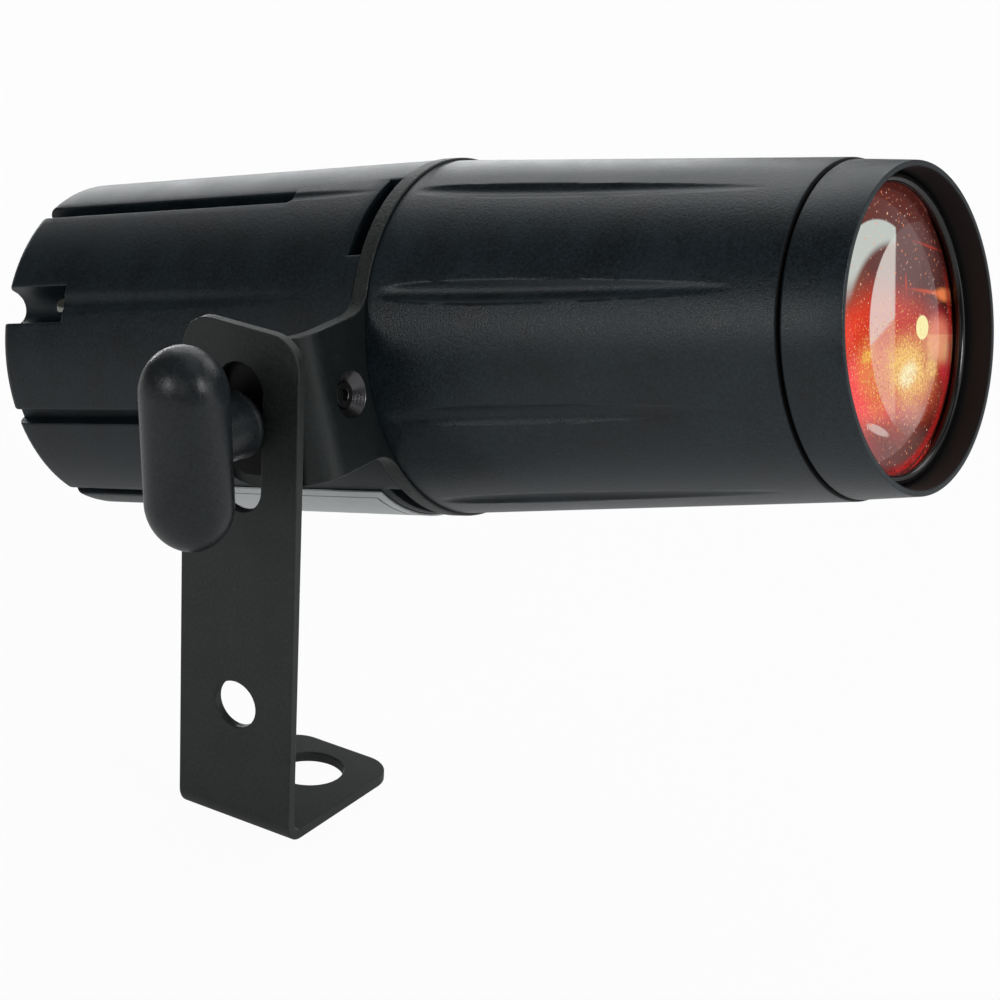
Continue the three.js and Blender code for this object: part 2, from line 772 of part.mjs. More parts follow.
addPiece(headGroup, "rear_housing", rearHousing(), "satinBlackPaint");
boltDegrees.forEach((degrees, i) =>
  addPiece(headGroup, `housing_bolt_${i + 1}`, housingBolt(degrees), "zincSteel"));

// Rating label on the plain underside
function ratingLabel() {
  const inner = (station) => housingRadiusAt(station) + seatGap;
  const outer = (station) => inner(station) + labelThickness;
  const band = turnX([
    [-labelRear, inner(-labelRear)],
    [-labelRear, outer(-labelRear)],
    [labelFront, outer(labelFront)],
    [labelFront, inner(labelFront)],
  ], tubeSteps);
  const sector = ringSector(housingBoreRadius, housingReach,
    undersideDegrees - labelHalfDegrees, undersideDegrees + labelHalfDegrees);
  return common(band, alongX(sector, -labelRear - overrun, labelFront + overrun));
}

addPiece(headGroup, "rating_label", ratingLabel(), "labelSilver");

// Front barrel, hood ring, lens and gasket
const barrelSlope = (barrelFrontRadius - barrelRearRadius) / barrelLength;
const barrelRadiusAt = (station) => barrelRearRadius + (station - barrelRear) * barrelSlope;
const spigotRear = barrelFront - spigotLength;
const threadEnd = spigotRear - seatGap;

function frontBarrel() {
  const flangeFront = barrelRear + barrelFlangeLength;
  const shell = turnX([
    [barrelRear, barrelRadiusAt(barrelRear) - barrelEdge],
    [barrelRear + barrelEdge, barrelRadiusAt(barrelRear + barrelEdge)],
    [barrelFront - barrelEdge, barrelRadiusAt(barrelFront - barrelEdge)],
    [barrelFront, barrelRadiusAt(barrelFront) - barrelEdge],
    [barrelFront, spigotRadius + seatGap],
    [threadEnd, spigotRadius + seatGap],
    [threadEnd, barrelRadiusAt(threadEnd) - barrelWall],
    [flangeFront, barrelRadiusAt(flangeFront) - barrelWall],
    [flangeFront, barrelFlangeRadius],
    [barrelRear, barrelFlangeRadius],
  ], tubeSteps);
  const flutes = Array.from({ length: Math.round(360 / flutePitchDegrees) }, (_, i) =>
    around(grooveCutter(
      barrelRear + fluteInset, barrelFront - fluteFade, fluteRadius, barrelRadiusAt,
      (share) => fluteDepth
        * ((1 + fluteLiftShare) * Math.sin(Math.PI * share ** fluteSkewShare) - fluteLiftShare)),
    fluteFirstDegrees + i * flutePitchDegrees));
  const boltHoles = boltDegrees.map((degrees) => around(
    rodX(boltShank + shankGap, barrelRear - overrun, flangeFront + overrun)
      .translate(0, 0, boltCircleRadius), degrees));
  return cut(shell, ...flutes, ...boltHoles);
}

const lensFrontEdge = rim - lensInset;
const lensRearEdge = lensFrontEdge - lensEdgeThickness;
const lensRadius = lensClearRadius + lensSeatWidth;

function frontBezel() {
  const pocket = lensRadius + seatGap;
  const shoulder = lensRearEdge - seatGap;
  return turnX([
    [spigotRear, shoulderRadius],
    [spigotRear, spigotRadius],
    [bezelRear, spigotRadius],
    [bezelRear, barrelFrontRadius - barrelEdge],
    [bezelRear + barrelEdge, barrelFrontRadius],
    [rim, bezelFrontRadius],
    [rim, bezelFrontRadius - bezelWall],
    [lensFrontEdge, pocket],
    [shoulder, pocket],
    [shoulder, shoulderRadius],
  ], tubeSteps);
}

// A shallow dome as [station, radius] pairs, from its edge to the axis.
function dome(edgeStation, edgeRadius, rise, steps = 4) {
  const sphere = (edgeRadius ** 2 + rise ** 2) / (2 * Math.abs(rise));
  const halfAngle = Math.asin(edgeRadius / sphere);
  return Array.from({ length: steps + 1 }, (_, i) => {
    const turn = halfAngle * (1 - i / steps);
    const lift = sphere * (Math.cos(turn) - Math.cos(halfAngle)) * Math.sign(rise);
    return [edgeStation + lift, sphere * Math.sin(turn)];
  });
}

function frontLens() {
  return turnX([
    ...dome(lensRearEdge, shoulderRadius, -lensRearRise).reverse(),
    [lensRearEdge, lensRadius],
    [lensFrontEdge, lensRadius],
    ...dome(lensFrontEdge, lensClearRadius, lensFrontRise),
  ], tubeSteps);
}

function lensGasket() {
  const rear = lensFrontEdge + seatGap;
  const front = rear + gasketThickness;
  const outer = lensRadius - seatGap;
  const step = gasketThickness / 4;
  return turnX([
    [rear, lensClearRadius + step],
    [rear, outer],
    [front - step, outer],
    [front, outer - step],
    [front, lensClearRadius + 2 * step],
    [rear + step, lensClearRadius],
  ], tubeSteps);
}

addPiece(headGroup, "front_barrel", frontBarrel(), "satinBlackPaint");
addPiece(headGroup, "front_bezel", frontBezel(), "satinBlackPaint");
addPiece(headGroup, "front_lens", frontLens(), "glass");
addPiece(headGroup, "lens_gasket", lensGasket(), "glossRubber");

// Light engine: heat sink, light board, emitter, collimator and its holder
const bossPassage = bossRadius + seatGap;
const leadSide = ledBoardRadius + leadRadius + seatGap;
const leadRow = -sinkFinPitch;

function heatSink() {
  const plug = rodX(housingMouthRadius - seatGap, sinkRear, sinkFront, tubeSteps);
  const fins = Array.from({ length: sinkFinCount }, (_, i) => {
    const low = sinkFinFloor + i * sinkFinPitch;
    const half = sinkFinHalfWidth * (i === sinkFinCount - 1 ? topFinWidthShare : 1);
    return boxBetween(
      [sinkRear - sinkFinLength, -half, low],
      [sinkRear + overrun, half, low + sinkFinThickness],
    );
  });
  return cut(
    fuse(plug, ...fins),
    ...boltDegrees.map((degrees) => around(
      rodX(bossPassage, sinkRear - overrun, sinkFront + overrun).translate(0, 0, boltCircleRadius), degrees)),
    ...[-1, 1].map((side) =>
      rodX(trayScrewShank + shankGap, sinkRear - overrun, sinkRear + trayScrewLength)
        .translate(0, side * trayScrewSpread, trayFloor + trayTabHeight / 2 + trayThickness)),
    ...[-1, 1].map((side) =>
      rodX(ledScrewShank + shankGap, sinkFront - ledScrewLength, sinkFront + overrun)
        .translate(0, side * ledScrewCircle, 0)),
    rodX(leadRadius + seatGap, sinkRear - overrun, sinkFront + overrun).translate(0, leadSide, leadRow),
  );
}

function ledBoard() {
  return cut(
    rodX(ledBoardRadius, ledBoardRear, ledBoardFront, roundSteps),
    ...[-1, 1].map((side) =>
      rodX(ledScrewShank + shankGap, ledBoardRear - overrun, ledBoardFront + overrun)
        .translate(0, side * ledScrewCircle, 0)),
  );
}

function ledScrew(side) {
  const headRear = ledBoardFront + seatGap;
  return turnX([
    [headRear + ledScrewHeadHeight, 0],
    [headRear + ledScrewHeadHeight, ledScrewHead],
    [headRear, ledScrewHead],
    [headRear, ledScrewShank],
    [headRear - ledScrewLength, ledScrewShank],
    [headRear - ledScrewLength, 0],
  ]).translate(0, side * ledScrewCircle, 0);
}

const emitterRear = ledBoardFront + seatGap;
const emitterEdge = emitterRear + emitterBase;
const emitterTop = emitterEdge + emitterRadius * emitterRiseShare;
const collimatorRear = emitterTop + seatGap;
const collimatorFront = collimatorRear + collimatorLength;
const holderBore = collimatorFrontRadius + collimatorRim + seatGap;

function ledEmitter() {
  return turnX([
    [emitterRear, 0],
    [emitterRear, emitterRadius * emitterBaseShare],
    [emitterEdge, emitterRadius * emitterBaseShare],
    ...dome(emitterEdge, emitterRadius * emitterDomeShare, emitterTop - emitterEdge),
  ], smallSteps);
}

function collimator() {
  return turnX([
    [collimatorRear, 0],
    [collimatorRear, collimatorRearRadius],
    [collimatorFront - 2 * collimatorRim, collimatorFrontRadius],
    [collimatorFront - 2 * collimatorRim, collimatorFrontRadius + collimatorRim],
    [collimatorFront, collimatorFrontRadius + collimatorRim],
    [collimatorFront, 0],
  ], roundSteps);
}

function collimatorHolder() {
  const lipRear = collimatorFront + seatGap;
  return turnX([
    [emitterRear, holderBore],
    [emitterRear, holderBore + holderWall],
    [lipRear + holderLip, holderBore + holderWall],
    [lipRear + holderLip, holderBore - 2 * collimatorRim],
    [lipRear, holderBore - 2 * collimatorRim],
    [lipRear, holderBore],
  ], roundSteps);
}

addPiece(headGroup, "heat_sink", heatSink(), "blackAnodised");
addPiece(headGroup, "led_board", ledBoard(), "whiteBoard");
addPiece(headGroup, "led_emitter", ledEmitter(), "redEmitter");
addPiece(headGroup, "collimator", collimator(), "clearAcrylic");
addPiece(headGroup, "collimator_holder", collimatorHolder(), "blackPlastic");
[-1, 1].forEach((side, i) => addPiece(headGroup, `led_screw_${i + 1}`, ledScrew(side), "zincSteel"));

// Rear panel with its window, buttons and sockets
const buttonPlaceShares = [-1.5, -0.5, 0.5, 1.5];
const buttonSides = buttonPlaceShares.map((share) => share * buttonPitch);
const sockets = [
  { name: "power_inlet", side: 0, row: inletRow, radius: inletBarrelRadius, contacts: 3 },
  { name: "data_in_socket", side: -dataSpread, row: dataRow, radius: dataBarrelRadius, contacts: 3 },
  { name: "data_out_socket", side: dataSpread, row: dataRow, radius: dataBarrelRadius, contacts: 3 },
];

function rearPanel() {
  const through = (radius, side, row) =>
    rodX(radius, panelOuter - overrun, panelInner + overrun).translate(0, side, row);
  return cut(
    rodX(housingMouthRadius - seatGap, panelOuter, panelInner, tubeSteps),
    boxBetween(
      [panelOuter - overrun, -windowWidth / 2, windowCentre - windowHeight / 2],
      [panelInner + overrun, windowWidth / 2, windowCentre + windowHeight / 2],
    ),
    ...buttonSides.map((side) => through(buttonRadius + slideGap, side, buttonRow)),
    ...sockets.map(({ side, row, radius }) => through(radius + shankGap, side, row)),
    ...boltDegrees.map((degrees) => around(
      rodX(bossPassage, panelOuter - overrun, panelInner + overrun)
        .translate(0, 0, boltCircleRadius), degrees)),
    ...panelScrewDegrees.map((degrees) => around(
      rodX(panelScrewShank + shankGap, panelOuter - overrun, panelInner + overrun)
        .translate(0, 0, panelScrewCircle), degrees)),
  );
}

function panelScrew(degrees) {
  const headFront = panelOuter - seatGap;
  const headRear = headFront - panelScrewHeadHeight;
  const blank = turnX([
    [headRear, 0],
    [headRear, panelScrewHead - panelScrewHeadHeight / 2],
    [headRear + panelScrewHeadHeight / 2, panelScrewHead],
    [headFront, panelScrewHead],
    [headFront, panelScrewShank],
    [headFront + panelScrewLength, panelScrewShank],
    [headFront + panelScrewLength, 0],
  ], smallSteps);
  return around(blank.translate(0, 0, panelScrewCircle), degrees);
}

function displayWindow() {
  return boxBetween(
    [panelOuter, seatGap - windowWidth / 2, windowCentre - windowHeight / 2 + seatGap],
    [panelInner, windowWidth / 2 - seatGap, windowCentre + windowHeight / 2 - seatGap],
  );
}

const moduleFront = controlRear - seatGap;
const switchHeight = controlGap - seatGap - buttonTravel - buttonStopGap - 3 * buttonFlange;

function displayModule() {
  return boxBetween(
    [panelInner + seatGap, moduleInset - windowWidth / 2, windowCentre - windowHeight / 2 + moduleInset],
    [moduleFront, windowWidth / 2 - moduleInset, windowCentre + windowHeight / 2 - moduleInset],
  );
}

function buttonCap(side) {
  const flangeRear = panelInner + seatGap;
  const flangeFront = flangeRear + buttonFlange;
  const foot = controlRear - switchHeight - buttonTravel - buttonStopGap;
  const edge = buttonProud / 3;
  return turnX([
    [panelOuter - buttonProud, 0],
    [panelOuter - buttonProud, buttonRadius - edge],
    [panelOuter - buttonProud + edge, buttonRadius],
    [flangeRear, buttonRadius],
    [flangeRear, buttonRadius + buttonFlange],
    [flangeFront, buttonRadius + buttonFlange],
    [flangeFront, buttonRadius / 2],
    [foot, buttonRadius / 2],
    [foot, 0],
  ], smallSteps).translate(0, side, buttonRow);
}

function tactSwitch(side) {
  const half = switchSide / 2;
  return boxBetween(
    [controlRear - switchHeight, side - half, buttonRow - half],
    [controlRear + boardThickness / 2, side + half, buttonRow + half],
  );
}

// The board with its four press switches soldered on.
function controlBoard() {
  const outline = rectangle(-controlHalfWidth, controlHalfWidth, controlLow, controlHigh);
  const board = alongX(outline, controlRear, controlRear + boardThickness);
  return fuse(board, ...buttonSides.map(tactSwitch));
}

function controlStandoff(side) {
  return rodX(standoffRadius, panelInner + seatGap, controlRear - seatGap)
    .translate(0, side * standoffSpread, standoffRow);
}

// A round socket: flange outside, threaded barrel through the panel, and an insert with contact holes.
function socket({ side, row, radius, contacts }) {
  const flangeFront = panelOuter - seatGap;
  const mouth = flangeFront - socketFlangeThickness;
  const grooveOuter = radius - socketWall;
  const grooveInner = grooveOuter - socketGroove;
  const body = turnX([
    [mouth, 0],
    [mouth, radius + socketFlange],
    [flangeFront, radius + socketFlange],
    [flangeFront, radius],
    [mouth + socketLength, radius],
    [mouth + socketLength, 0],
  ], roundSteps);
  const contactHoles = Array.from({ length: contacts }, (_, i) => around(
    rodX(contactRadius, mouth - overrun, mouth + socketGrooveDepth, 8)
      .translate(0, 0, grooveInner * contactCircleShare), (i * 360) / contacts));
  return cut(
    body,
    tubeX(grooveInner, grooveOuter, mouth - overrun, mouth + socketGrooveDepth, roundSteps),
    ...contactHoles,
  ).translate(0, side, row);
}

function socketNut({ side, row, radius }) {
  const rear = panelInner + seatGap;
  const hexRadius = radius + socketFlange;
  return cut(
    rodX(hexRadius, rear, rear + socketNutThickness, 6),
    rodX(radius + shankGap, rear - overrun, rear + socketNutThickness + overrun, roundSteps),
  ).translate(0, side, row);
}

addPiece(headGroup, "rear_panel", rearPanel(), "satinBlackPaint");
addPiece(headGroup, "display_window", displayWindow(), "smokedAcrylic");
addPiece(headGroup, "display_module", displayModule(), "moduleGrey");
addPiece(headGroup, "control_board", controlBoard(), "circuitBoard");
panelScrewDegrees.forEach((degrees, i) =>
  addPiece(headGroup, `panel_screw_${i + 1}`, panelScrew(degrees), "blackSteel"));
[-1, 1].forEach((side, i) =>
  addPiece(headGroup, `control_standoff_${i + 1}`, controlStandoff(side), "zincSteel"));
buttonSides.forEach((side, i) => {
  addPiece(headGroup, `button_${i + 1}`, buttonCap(side), "blackPlastic");
});
sockets.forEach((entry) => {
  addPiece(headGroup, entry.name, socket(entry), "blackPlastic");
  addPiece(headGroup, `${entry.name}_nut`, socketNut(entry), "zincSteel");
});

// Driver board on its tray, fixed to the heat sink's rear face
const trayTop = trayFloor + trayThickness;
const trayFront = sinkRear - seatGap;
const spacerLow = trayTop + seatGap;
const driverLow = spacerLow + spacerHeight + seatGap;
const driverHigh = driverLow + boardThickness;
const partsLow = driverHigh + seatGap;
const trayScrewRow = trayFloor + trayTabHeight / 2 + trayThickness;

function chassisTray() {
  return cut(
    fuse(
      boxBetween([-trayRear, -trayHalfWidth, trayFloor], [trayFront, trayHalfWidth, trayTop]),
      boxBetween([trayFront - trayThickness, -trayHalfWidth, trayFloor],
        [trayFront, trayHalfWidth, trayFloor + trayTabHeight]),
    ),
    ...[-1, 1].map((side) =>
      rodX(trayScrewShank + shankGap, trayFront - trayThickness - overrun, trayFront + overrun)
        .translate(0, side * trayScrewSpread, trayScrewRow)),
  );
}

function trayScrew(side) {
  const headFront = trayFront - trayThickness - seatGap;
  const headRear = headFront - trayScrewHeadHeight;
  return turnX([
    [headRear, 0],
    [headRear, trayScrewHead],
    [headFront, trayScrewHead],
    [headFront, trayScrewShank],
    [headFront + trayScrewLength, trayScrewShank],
    [headFront + trayScrewLength, 0],
  ]).translate(0, side * trayScrewSpread, trayScrewRow);
}

const spacerPlaces = [-1, 1].flatMap((side) =>
  [-driverRear + driverEdge, -driverFront - driverEdge].map((station) =>
    [station, side * (driverHalfWidth - driverEdge)]));

const uprightRod = (radius, low, high, steps = smallSteps) =>
  rodX(radius, low, high, steps).rotateY(-Math.PI / 2);

function driverBoard() {
  const outline = rectangle(-driverRear, -driverFront, -driverHalfWidth, driverHalfWidth);
  return cut(
    alongZ(outline, driverLow, driverHigh),
    ...spacerPlaces.map(([station, side]) =>
      uprightRod(spacerPinRadius + shankGap, driverLow - overrun, driverHigh + overrun, 12)
        .translate(station, side, 0)),
  );
}

function boardSpacer([station, side]) {
  return fuse(
    uprightRod(spacerRadius, spacerLow, spacerLow + spacerHeight),
    uprightRod(spacerPinRadius, spacerLow, driverHigh + seatGap, 12),
  ).translate(station, side, 0);
}

function transformer() {
  const { length, width, height } = transformerSize;
  return boxBetween(
    [-transformerCentre - length / 2, -width / 2, partsLow],
    [-transformerCentre + length / 2, width / 2, partsLow + height],
  );
}

function terminalBlock() {
  const { length, width, height } = terminalSize;
  const rear = -driverRear + seatGap;
  return boxBetween([rear, -width / 2, partsLow], [rear + length, width / 2, partsLow + height]);
}

function filterChoke() {
  const outer = uprightRod(chokeRadius, partsLow, partsLow + chokeHeight);
  return cut(outer, uprightRod(chokeBore, partsLow - overrun, partsLow + chokeHeight + overrun, 12))
    .translate(-capacitorStation, capacitorSide, 0);
}

addPiece(headGroup, "chassis_tray", chassisTray(), "aluminium");
addPiece(headGroup, "driver_board", driverBoard(), "circuitBoard");
[-1, 1].forEach((side, i) => addPiece(headGroup, `tray_screw_${i + 1}`, trayScrew(side), "zincSteel"));
spacerPlaces.forEach((place, i) =>
  addPiece(headGroup, `board_spacer_${i + 1}`, boardSpacer(place), "nylon"));
addPiece(headGroup, "transformer", transformer(), "copperWinding");
addPiece(headGroup, "terminal_block", terminalBlock(), "terminalGreen");
addPiece(headGroup, "bulk_capacitor",
  uprightRod(capacitorRadius, partsLow, partsLow + capacitorHeight)
    .translate(-capacitorStation, -capacitorSide, 0), "capacitorSleeve");
addPiece(headGroup, "filter_choke", filterChoke(), "copperWinding");

// Leads between the sockets, the driver board and the light board
function lead(radius, places) {
  const section = disc(0, 0, radius);
  const route = new THREE.CatmullRomCurve3(places.map((place) => new THREE.Vector3(...place)));
  return new THREE.ExtrudeGeometry(section, {
    steps: 2 * places.length,
    curveSegments: leadSides / 2,
    bevelEnabled: false,
    extrudePath: route,
  });
}

const socketEnd = panelOuter - seatGap - socketFlangeThickness + socketLength + seatGap;
const boardTop = driverHigh + seatGap;
const terminalRear = -driverRear;
const inletLift = boardTop - inletRow;
const dataLift = boardTop - dataRow;

// The mains and data leads rise from the sockets: shares of the rise, along the lamp and up.
const mainsLeadShares = [[0, 0], [0.25, 0.04], [0.43, 0.26], [0.52, 0.66], [0.6, 1.12]];
const mainsEndShares = [[-0.2, 1.4], [0, 1.44]];
const dataLeadShares = [[0, 0], [0.5, 0.1], [0.9, 0.6], [1.2, 1.4]];
const dataEndShares = [[0, 0.8], [1.2, 0.8], [1.9, 0.45], [2, 0]];

const mainsLead = lead(mainsLeadRadius, [
  ...mainsLeadShares.map(([along, up]) => [socketEnd + along * inletLift, 0, inletRow + up * inletLift]),
  ...mainsEndShares.map(([along, up]) => [terminalRear + along * inletLift, 0, inletRow + up * inletLift]),
]);

const dataLead = (side) => lead(leadRadius, [
  ...dataLeadShares.map(([along, up]) =>
    [socketEnd + along * dataLift, side * dataSpread, dataRow + up * dataLift]),
  ...dataEndShares.map(([along, up]) =>
    [terminalRear + along * dataLift, side * dataSpread, boardTop + up * dataLift]),
]);

// The light board's lead passes the heat sink through its own hole.
const leadStart = -driverFront - 2 * leadRadius;
const finEnd = sinkRear - sinkFinLength;
const ledLead = lead(leadRadius, [
  [leadStart, leadSide / 2, boardTop],
  [leadStart, leadSide / 2 + leadRadius, boardTop + 3 * leadRadius],
  [(leadStart + finEnd) / 2, 0.72 * leadSide, boardTop + 3.5 * leadRadius],
  [finEnd + leadRadius, 0.95 * leadSide, leadRow + leadRadius],
  [sinkRear - sinkFinLength / 2, leadSide, leadRow],
  [sinkRear, leadSide, leadRow],
  [(sinkRear + sinkFront) / 2, leadSide, leadRow],
  [sinkFront, leadSide, leadRow],
  [ledBoardFront + 2.2 * leadRadius, leadSide - leadRadius, leadRow],
  [ledBoardFront + 2.6 * leadRadius, leadSide - 3.2 * leadRadius, leadRow],
  [ledBoardFront + 1.6 * leadRadius, leadSide - 4.8 * leadRadius, leadRow],
  [ledBoardFront + seatGap, leadSide - 5 * leadRadius, leadRow],
]);

addPiece(headGroup, "mains_lead", mainsLead, "blackPlastic");
[-1, 1].forEach((side, i) => addPiece(headGroup, `data_lead_${i + 1}`, dataLead(side), "blackPlastic"));
addPiece(headGroup, "led_lead", ledLead, "redLead");

export default lamp;
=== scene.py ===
"""Looks of a small stage pinspot light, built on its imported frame.

Blender works in metres. Sizes of the pieces are written in millimetres and turned into metres with MM.
A station is a distance along the lamp's axis, forward from the pivot. A direction is in degrees round
that axis, from the top towards the near side.
"""

import json
import math

import bmesh
import bpy
from mathutils import Matrix, Vector
from mathutils.geometry import delaunay_2d_cdt


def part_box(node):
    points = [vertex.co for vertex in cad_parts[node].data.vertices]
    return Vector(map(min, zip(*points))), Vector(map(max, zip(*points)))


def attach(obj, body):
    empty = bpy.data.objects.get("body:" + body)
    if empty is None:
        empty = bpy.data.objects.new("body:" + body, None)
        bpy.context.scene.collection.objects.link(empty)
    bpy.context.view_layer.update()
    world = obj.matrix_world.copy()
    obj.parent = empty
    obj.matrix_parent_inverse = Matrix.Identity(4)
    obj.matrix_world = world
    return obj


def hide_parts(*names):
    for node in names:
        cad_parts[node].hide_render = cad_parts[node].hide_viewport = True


bl_info = {
    "name": "Pinspot Light Looks",
    "version": (1, 0, 0),
    "blender": (4, 5, 0),
    "location": "View3D > Sidebar > Pinspot",
    "description": "Builds the finished surfaces of a pinspot light on its packed frame",
    "category": "Object",
}

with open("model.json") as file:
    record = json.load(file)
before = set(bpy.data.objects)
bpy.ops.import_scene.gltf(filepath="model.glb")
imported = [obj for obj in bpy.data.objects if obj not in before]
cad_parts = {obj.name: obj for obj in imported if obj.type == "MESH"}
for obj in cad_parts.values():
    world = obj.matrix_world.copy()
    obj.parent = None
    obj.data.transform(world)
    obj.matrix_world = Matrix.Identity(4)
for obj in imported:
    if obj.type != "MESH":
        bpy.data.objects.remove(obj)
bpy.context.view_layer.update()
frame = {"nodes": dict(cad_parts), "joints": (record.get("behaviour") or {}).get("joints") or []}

MM = 0.001
AXIS = 0.0001  # radius of the points on an axis, in millimetres; they are welded into one
TILT = next(joint for joint in frame["joints"] if joint["name"] == "head_tilt")
PIVOT_HEIGHT = TILT["pos_m"][2]
BARREL_LOW, BARREL_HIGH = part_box("front_barrel")
LAMP_SIDE = (BARREL_LOW.y + BARREL_HIGH.y) / 2
ARM_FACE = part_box("mount_arm")[0].y
PITCH = math.radians(14.3)

# The lamp's own frame: X along its axis, origin level with the pivot
HEAD = Matrix.Translation((0, LAMP_SIDE, PIVOT_HEIGHT)) @ Matrix.Rotation(-PITCH, 4, "Y")
# The pivot's frame: origin on the arm's outer face, Y towards the lamp
PIVOT = Matrix.Translation((0, ARM_FACE, PIVOT_HEIGHT))
# The arm's frame: origin at the foot, on the arm's outer face
ARM = Matrix.Translation((0, ARM_FACE, 0))


def length(name, text, millimetres):
    return bpy.props.FloatProperty(
        name=name, description=text, default=millimetres * MM, unit="LENGTH", precision=5)


def angle(name, text, degrees):
    return bpy.props.FloatProperty(
        name=name, description=text, default=math.radians(degrees), subtype="ANGLE")


def colour(name, text, value):
    return bpy.props.FloatVectorProperty(
        name=name, description=text, default=value, size=3, subtype="COLOR", min=0, max=1)


def share(name, text, value):
    return bpy.props.FloatProperty(
        name=name, description=text, default=value, min=0, max=1, subtype="FACTOR")


class PinspotHousing(bpy.types.PropertyGroup):
    rear_radius: length("Rear radius", "Housing radius at the rear rim", 31.8)
    front_radius: length("Front radius", "Housing radius at the yoke plate", 33)
    rear: length("Rear", "Distance from the pivot back to the rear rim", 76.2)
    front: length("Front", "Distance from the pivot to the housing's front face", 9.26)
    edge: length("Rim rounding", "Radius of the rounded rear rim", 2)
    slot_width: length("Slot width", "Width of a cooling slot", 3)
    slot_depth: length("Slot depth", "Depth of a cooling slot at the rear rim", 2.6)
    recess_length: length("Recess length", "Length of a bolt recess", 15.5)


class PinspotBarrel(bpy.types.PropertyGroup):
    rear_radius: length("Rear radius", "Barrel radius at the yoke plate", 32.7)
    front_radius: length("Front radius", "Barrel radius at the hood ring", 29.45)
    flute_radius: length("Flute radius", "Radius of the cutter that sinks a flute", 2.6)
    flute_depth: length("Flute depth", "Deepest place of a flute", 0.95)
    flute_count: bpy.props.IntProperty(
        name="Flutes", description="Flutes round the barrel", default=9, min=0, max=24)


class PinspotBracket(bpy.types.PropertyGroup):
    edge: length("Edge rounding", "Rounding of the cut sheet's edges under the paint", 0.28)
    knob_length: length("Knob length", "Length of the knob's bar", 36.9)
    knob_width: length("Knob width", "Width of the knob's bar", 16.0)
    knob_depth: length("Knob depth", "Depth of the knob's bar", 14)


class PinspotColours(bpy.types.PropertyGroup):
    paint: colour("Paint", "Satin black of the housing and barrel", (0.0075, 0.0145, 0.0195))
    sheet_paint: colour(
        "Sheet paint", "Satin black of the arm and of the plate's cut edges", (0.0155, 0.0185, 0.0180))
    knob: colour("Knob", "Moulded black plastic", (0.0140, 0.0175, 0.0200))
    label: colour("Label", "Silver-white film", (0.76, 0.79, 0.80))
    glow: colour("Glow", "Red light behind the lens", (1.0, 0.06, 0.03))
    paint_roughness: share("Paint roughness", "How dull the paint is", 0.37)


class PinspotStage(bpy.types.PropertyGroup):
    azimuth: angle("Azimuth", "Camera direction from -Y towards +X", 31.55)
    elevation: angle("Elevation", "Camera height angle", 23.03)
    roll: angle("Roll", "Camera roll", 2.99)
    distance: length("Distance", "From the camera to its target", 538.7)
    focal: bpy.props.FloatProperty(
        name="Focal length", description="On a 36 mm sensor", default=111.5, min=20, max=300)
    target: bpy.props.FloatVectorProperty(
        name="Target", description="Point that the camera looks at",
        default=(0.04173, -0.0038, 0.07003), size=3, subtype="TRANSLATION")
    floor: colour("Floor", "Pale floor", (0.82, 0.82, 0.82))
    room: share("Room", "Brightness of the dim room round the white panel", 0.085)


GROUPS = {
    "pinspot_housing": PinspotHousing,
    "pinspot_barrel": PinspotBarrel,
    "pinspot_bracket": PinspotBracket,
    "pinspot_colours": PinspotColours,
    "pinspot_stage": PinspotStage,
}


# Shapes

WELD_DISTANCE, SHEET_WELD_DISTANCE = 2e-6, 3e-6  # in metres
SAME_POINT, CUT_CLEARANCE = 0.01, 1e-4  # in millimetres
ROUNDING_STEPS = 3


def put(name, mesh, body, matrix, slot, nodes, *finishes):
    """Adds a finished mesh as a piece that rides on a body and stands for CAD nodes."""
    piece = bpy.data.objects.new(name, mesh)
    bpy.context.scene.collection.objects.link(piece)
    piece.matrix_world = matrix
    for used in finishes:
        mesh.materials.append(finish(used))
    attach(piece, body)
    if nodes:
        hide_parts(*nodes)
    return piece


def mesh_of(bm, name, degrees=35):
    """A mesh whose edges are sharp from this angle on; it uses the bmesh up."""
    bmesh.ops.recalc_face_normals(bm, faces=bm.faces[:])
    mesh = bpy.data.meshes.new(name)
    bm.to_mesh(mesh)
    bm.free()
    mesh.shade_smooth()
    mesh.set_sharp_from_angle(angle=math.radians(degrees))
    return mesh


def columns_mesh(name, columns, degrees, closed=True, loop=True):
    """Joins columns of points, each as long as the last, into one skin.

    The last column meets the first, or else both are capped. A looped column meets itself.
    """
    bm = bmesh.new()
    rows = [[bm.verts.new(point) for point in column] for column in columns]
    count = len(rows[0])
    for i in range(len(rows) if closed else len(rows) - 1):
        near, far = rows[i], rows[(i + 1) % len(rows)]
        for j in range(count if loop else count - 1):
            k = (j + 1) % count
            bm.faces.new((near[j], near[k], far[k], far[j]))
    if not closed:
        bm.faces.new(rows[0])
        bm.faces.new(reversed(rows[-1]))
    bmesh.ops.remove_doubles(bm, verts=bm.verts[:], dist=WELD_DISTANCE)
    bmesh.ops.dissolve_degenerate(bm, edges=bm.edges[:], dist=WELD_DISTANCE / 2)
    return mesh_of(bm, name, degrees)


def ring_point(station, radius, degrees):
    """A point round the lamp's axis, in metres."""
    turn = math.radians(degrees)
    return Vector((station, -radius * math.sin(turn), radius * math.cos(turn))) * MM


def rounded(profile, radius):
    """Rounds the corners of a closed profile of points in millimetres."""
    result = []
    for i, corner in enumerate(profile):
        corner = Vector(corner)
        before = Vector(profile[i - 1]) - corner
        after = Vector(profile[(i + 1) % len(profile)]) - corner
        reach = min(radius, 0.45 * before.length, 0.45 * after.length)
        start = corner + before.normalized() * reach
        end = corner + after.normalized() * reach
        for k in range(ROUNDING_STEPS + 1):
            t = k / ROUNDING_STEPS
            result.append((1 - t) ** 2 * start + 2 * t * (1 - t) * corner + t * t * end)
    return result


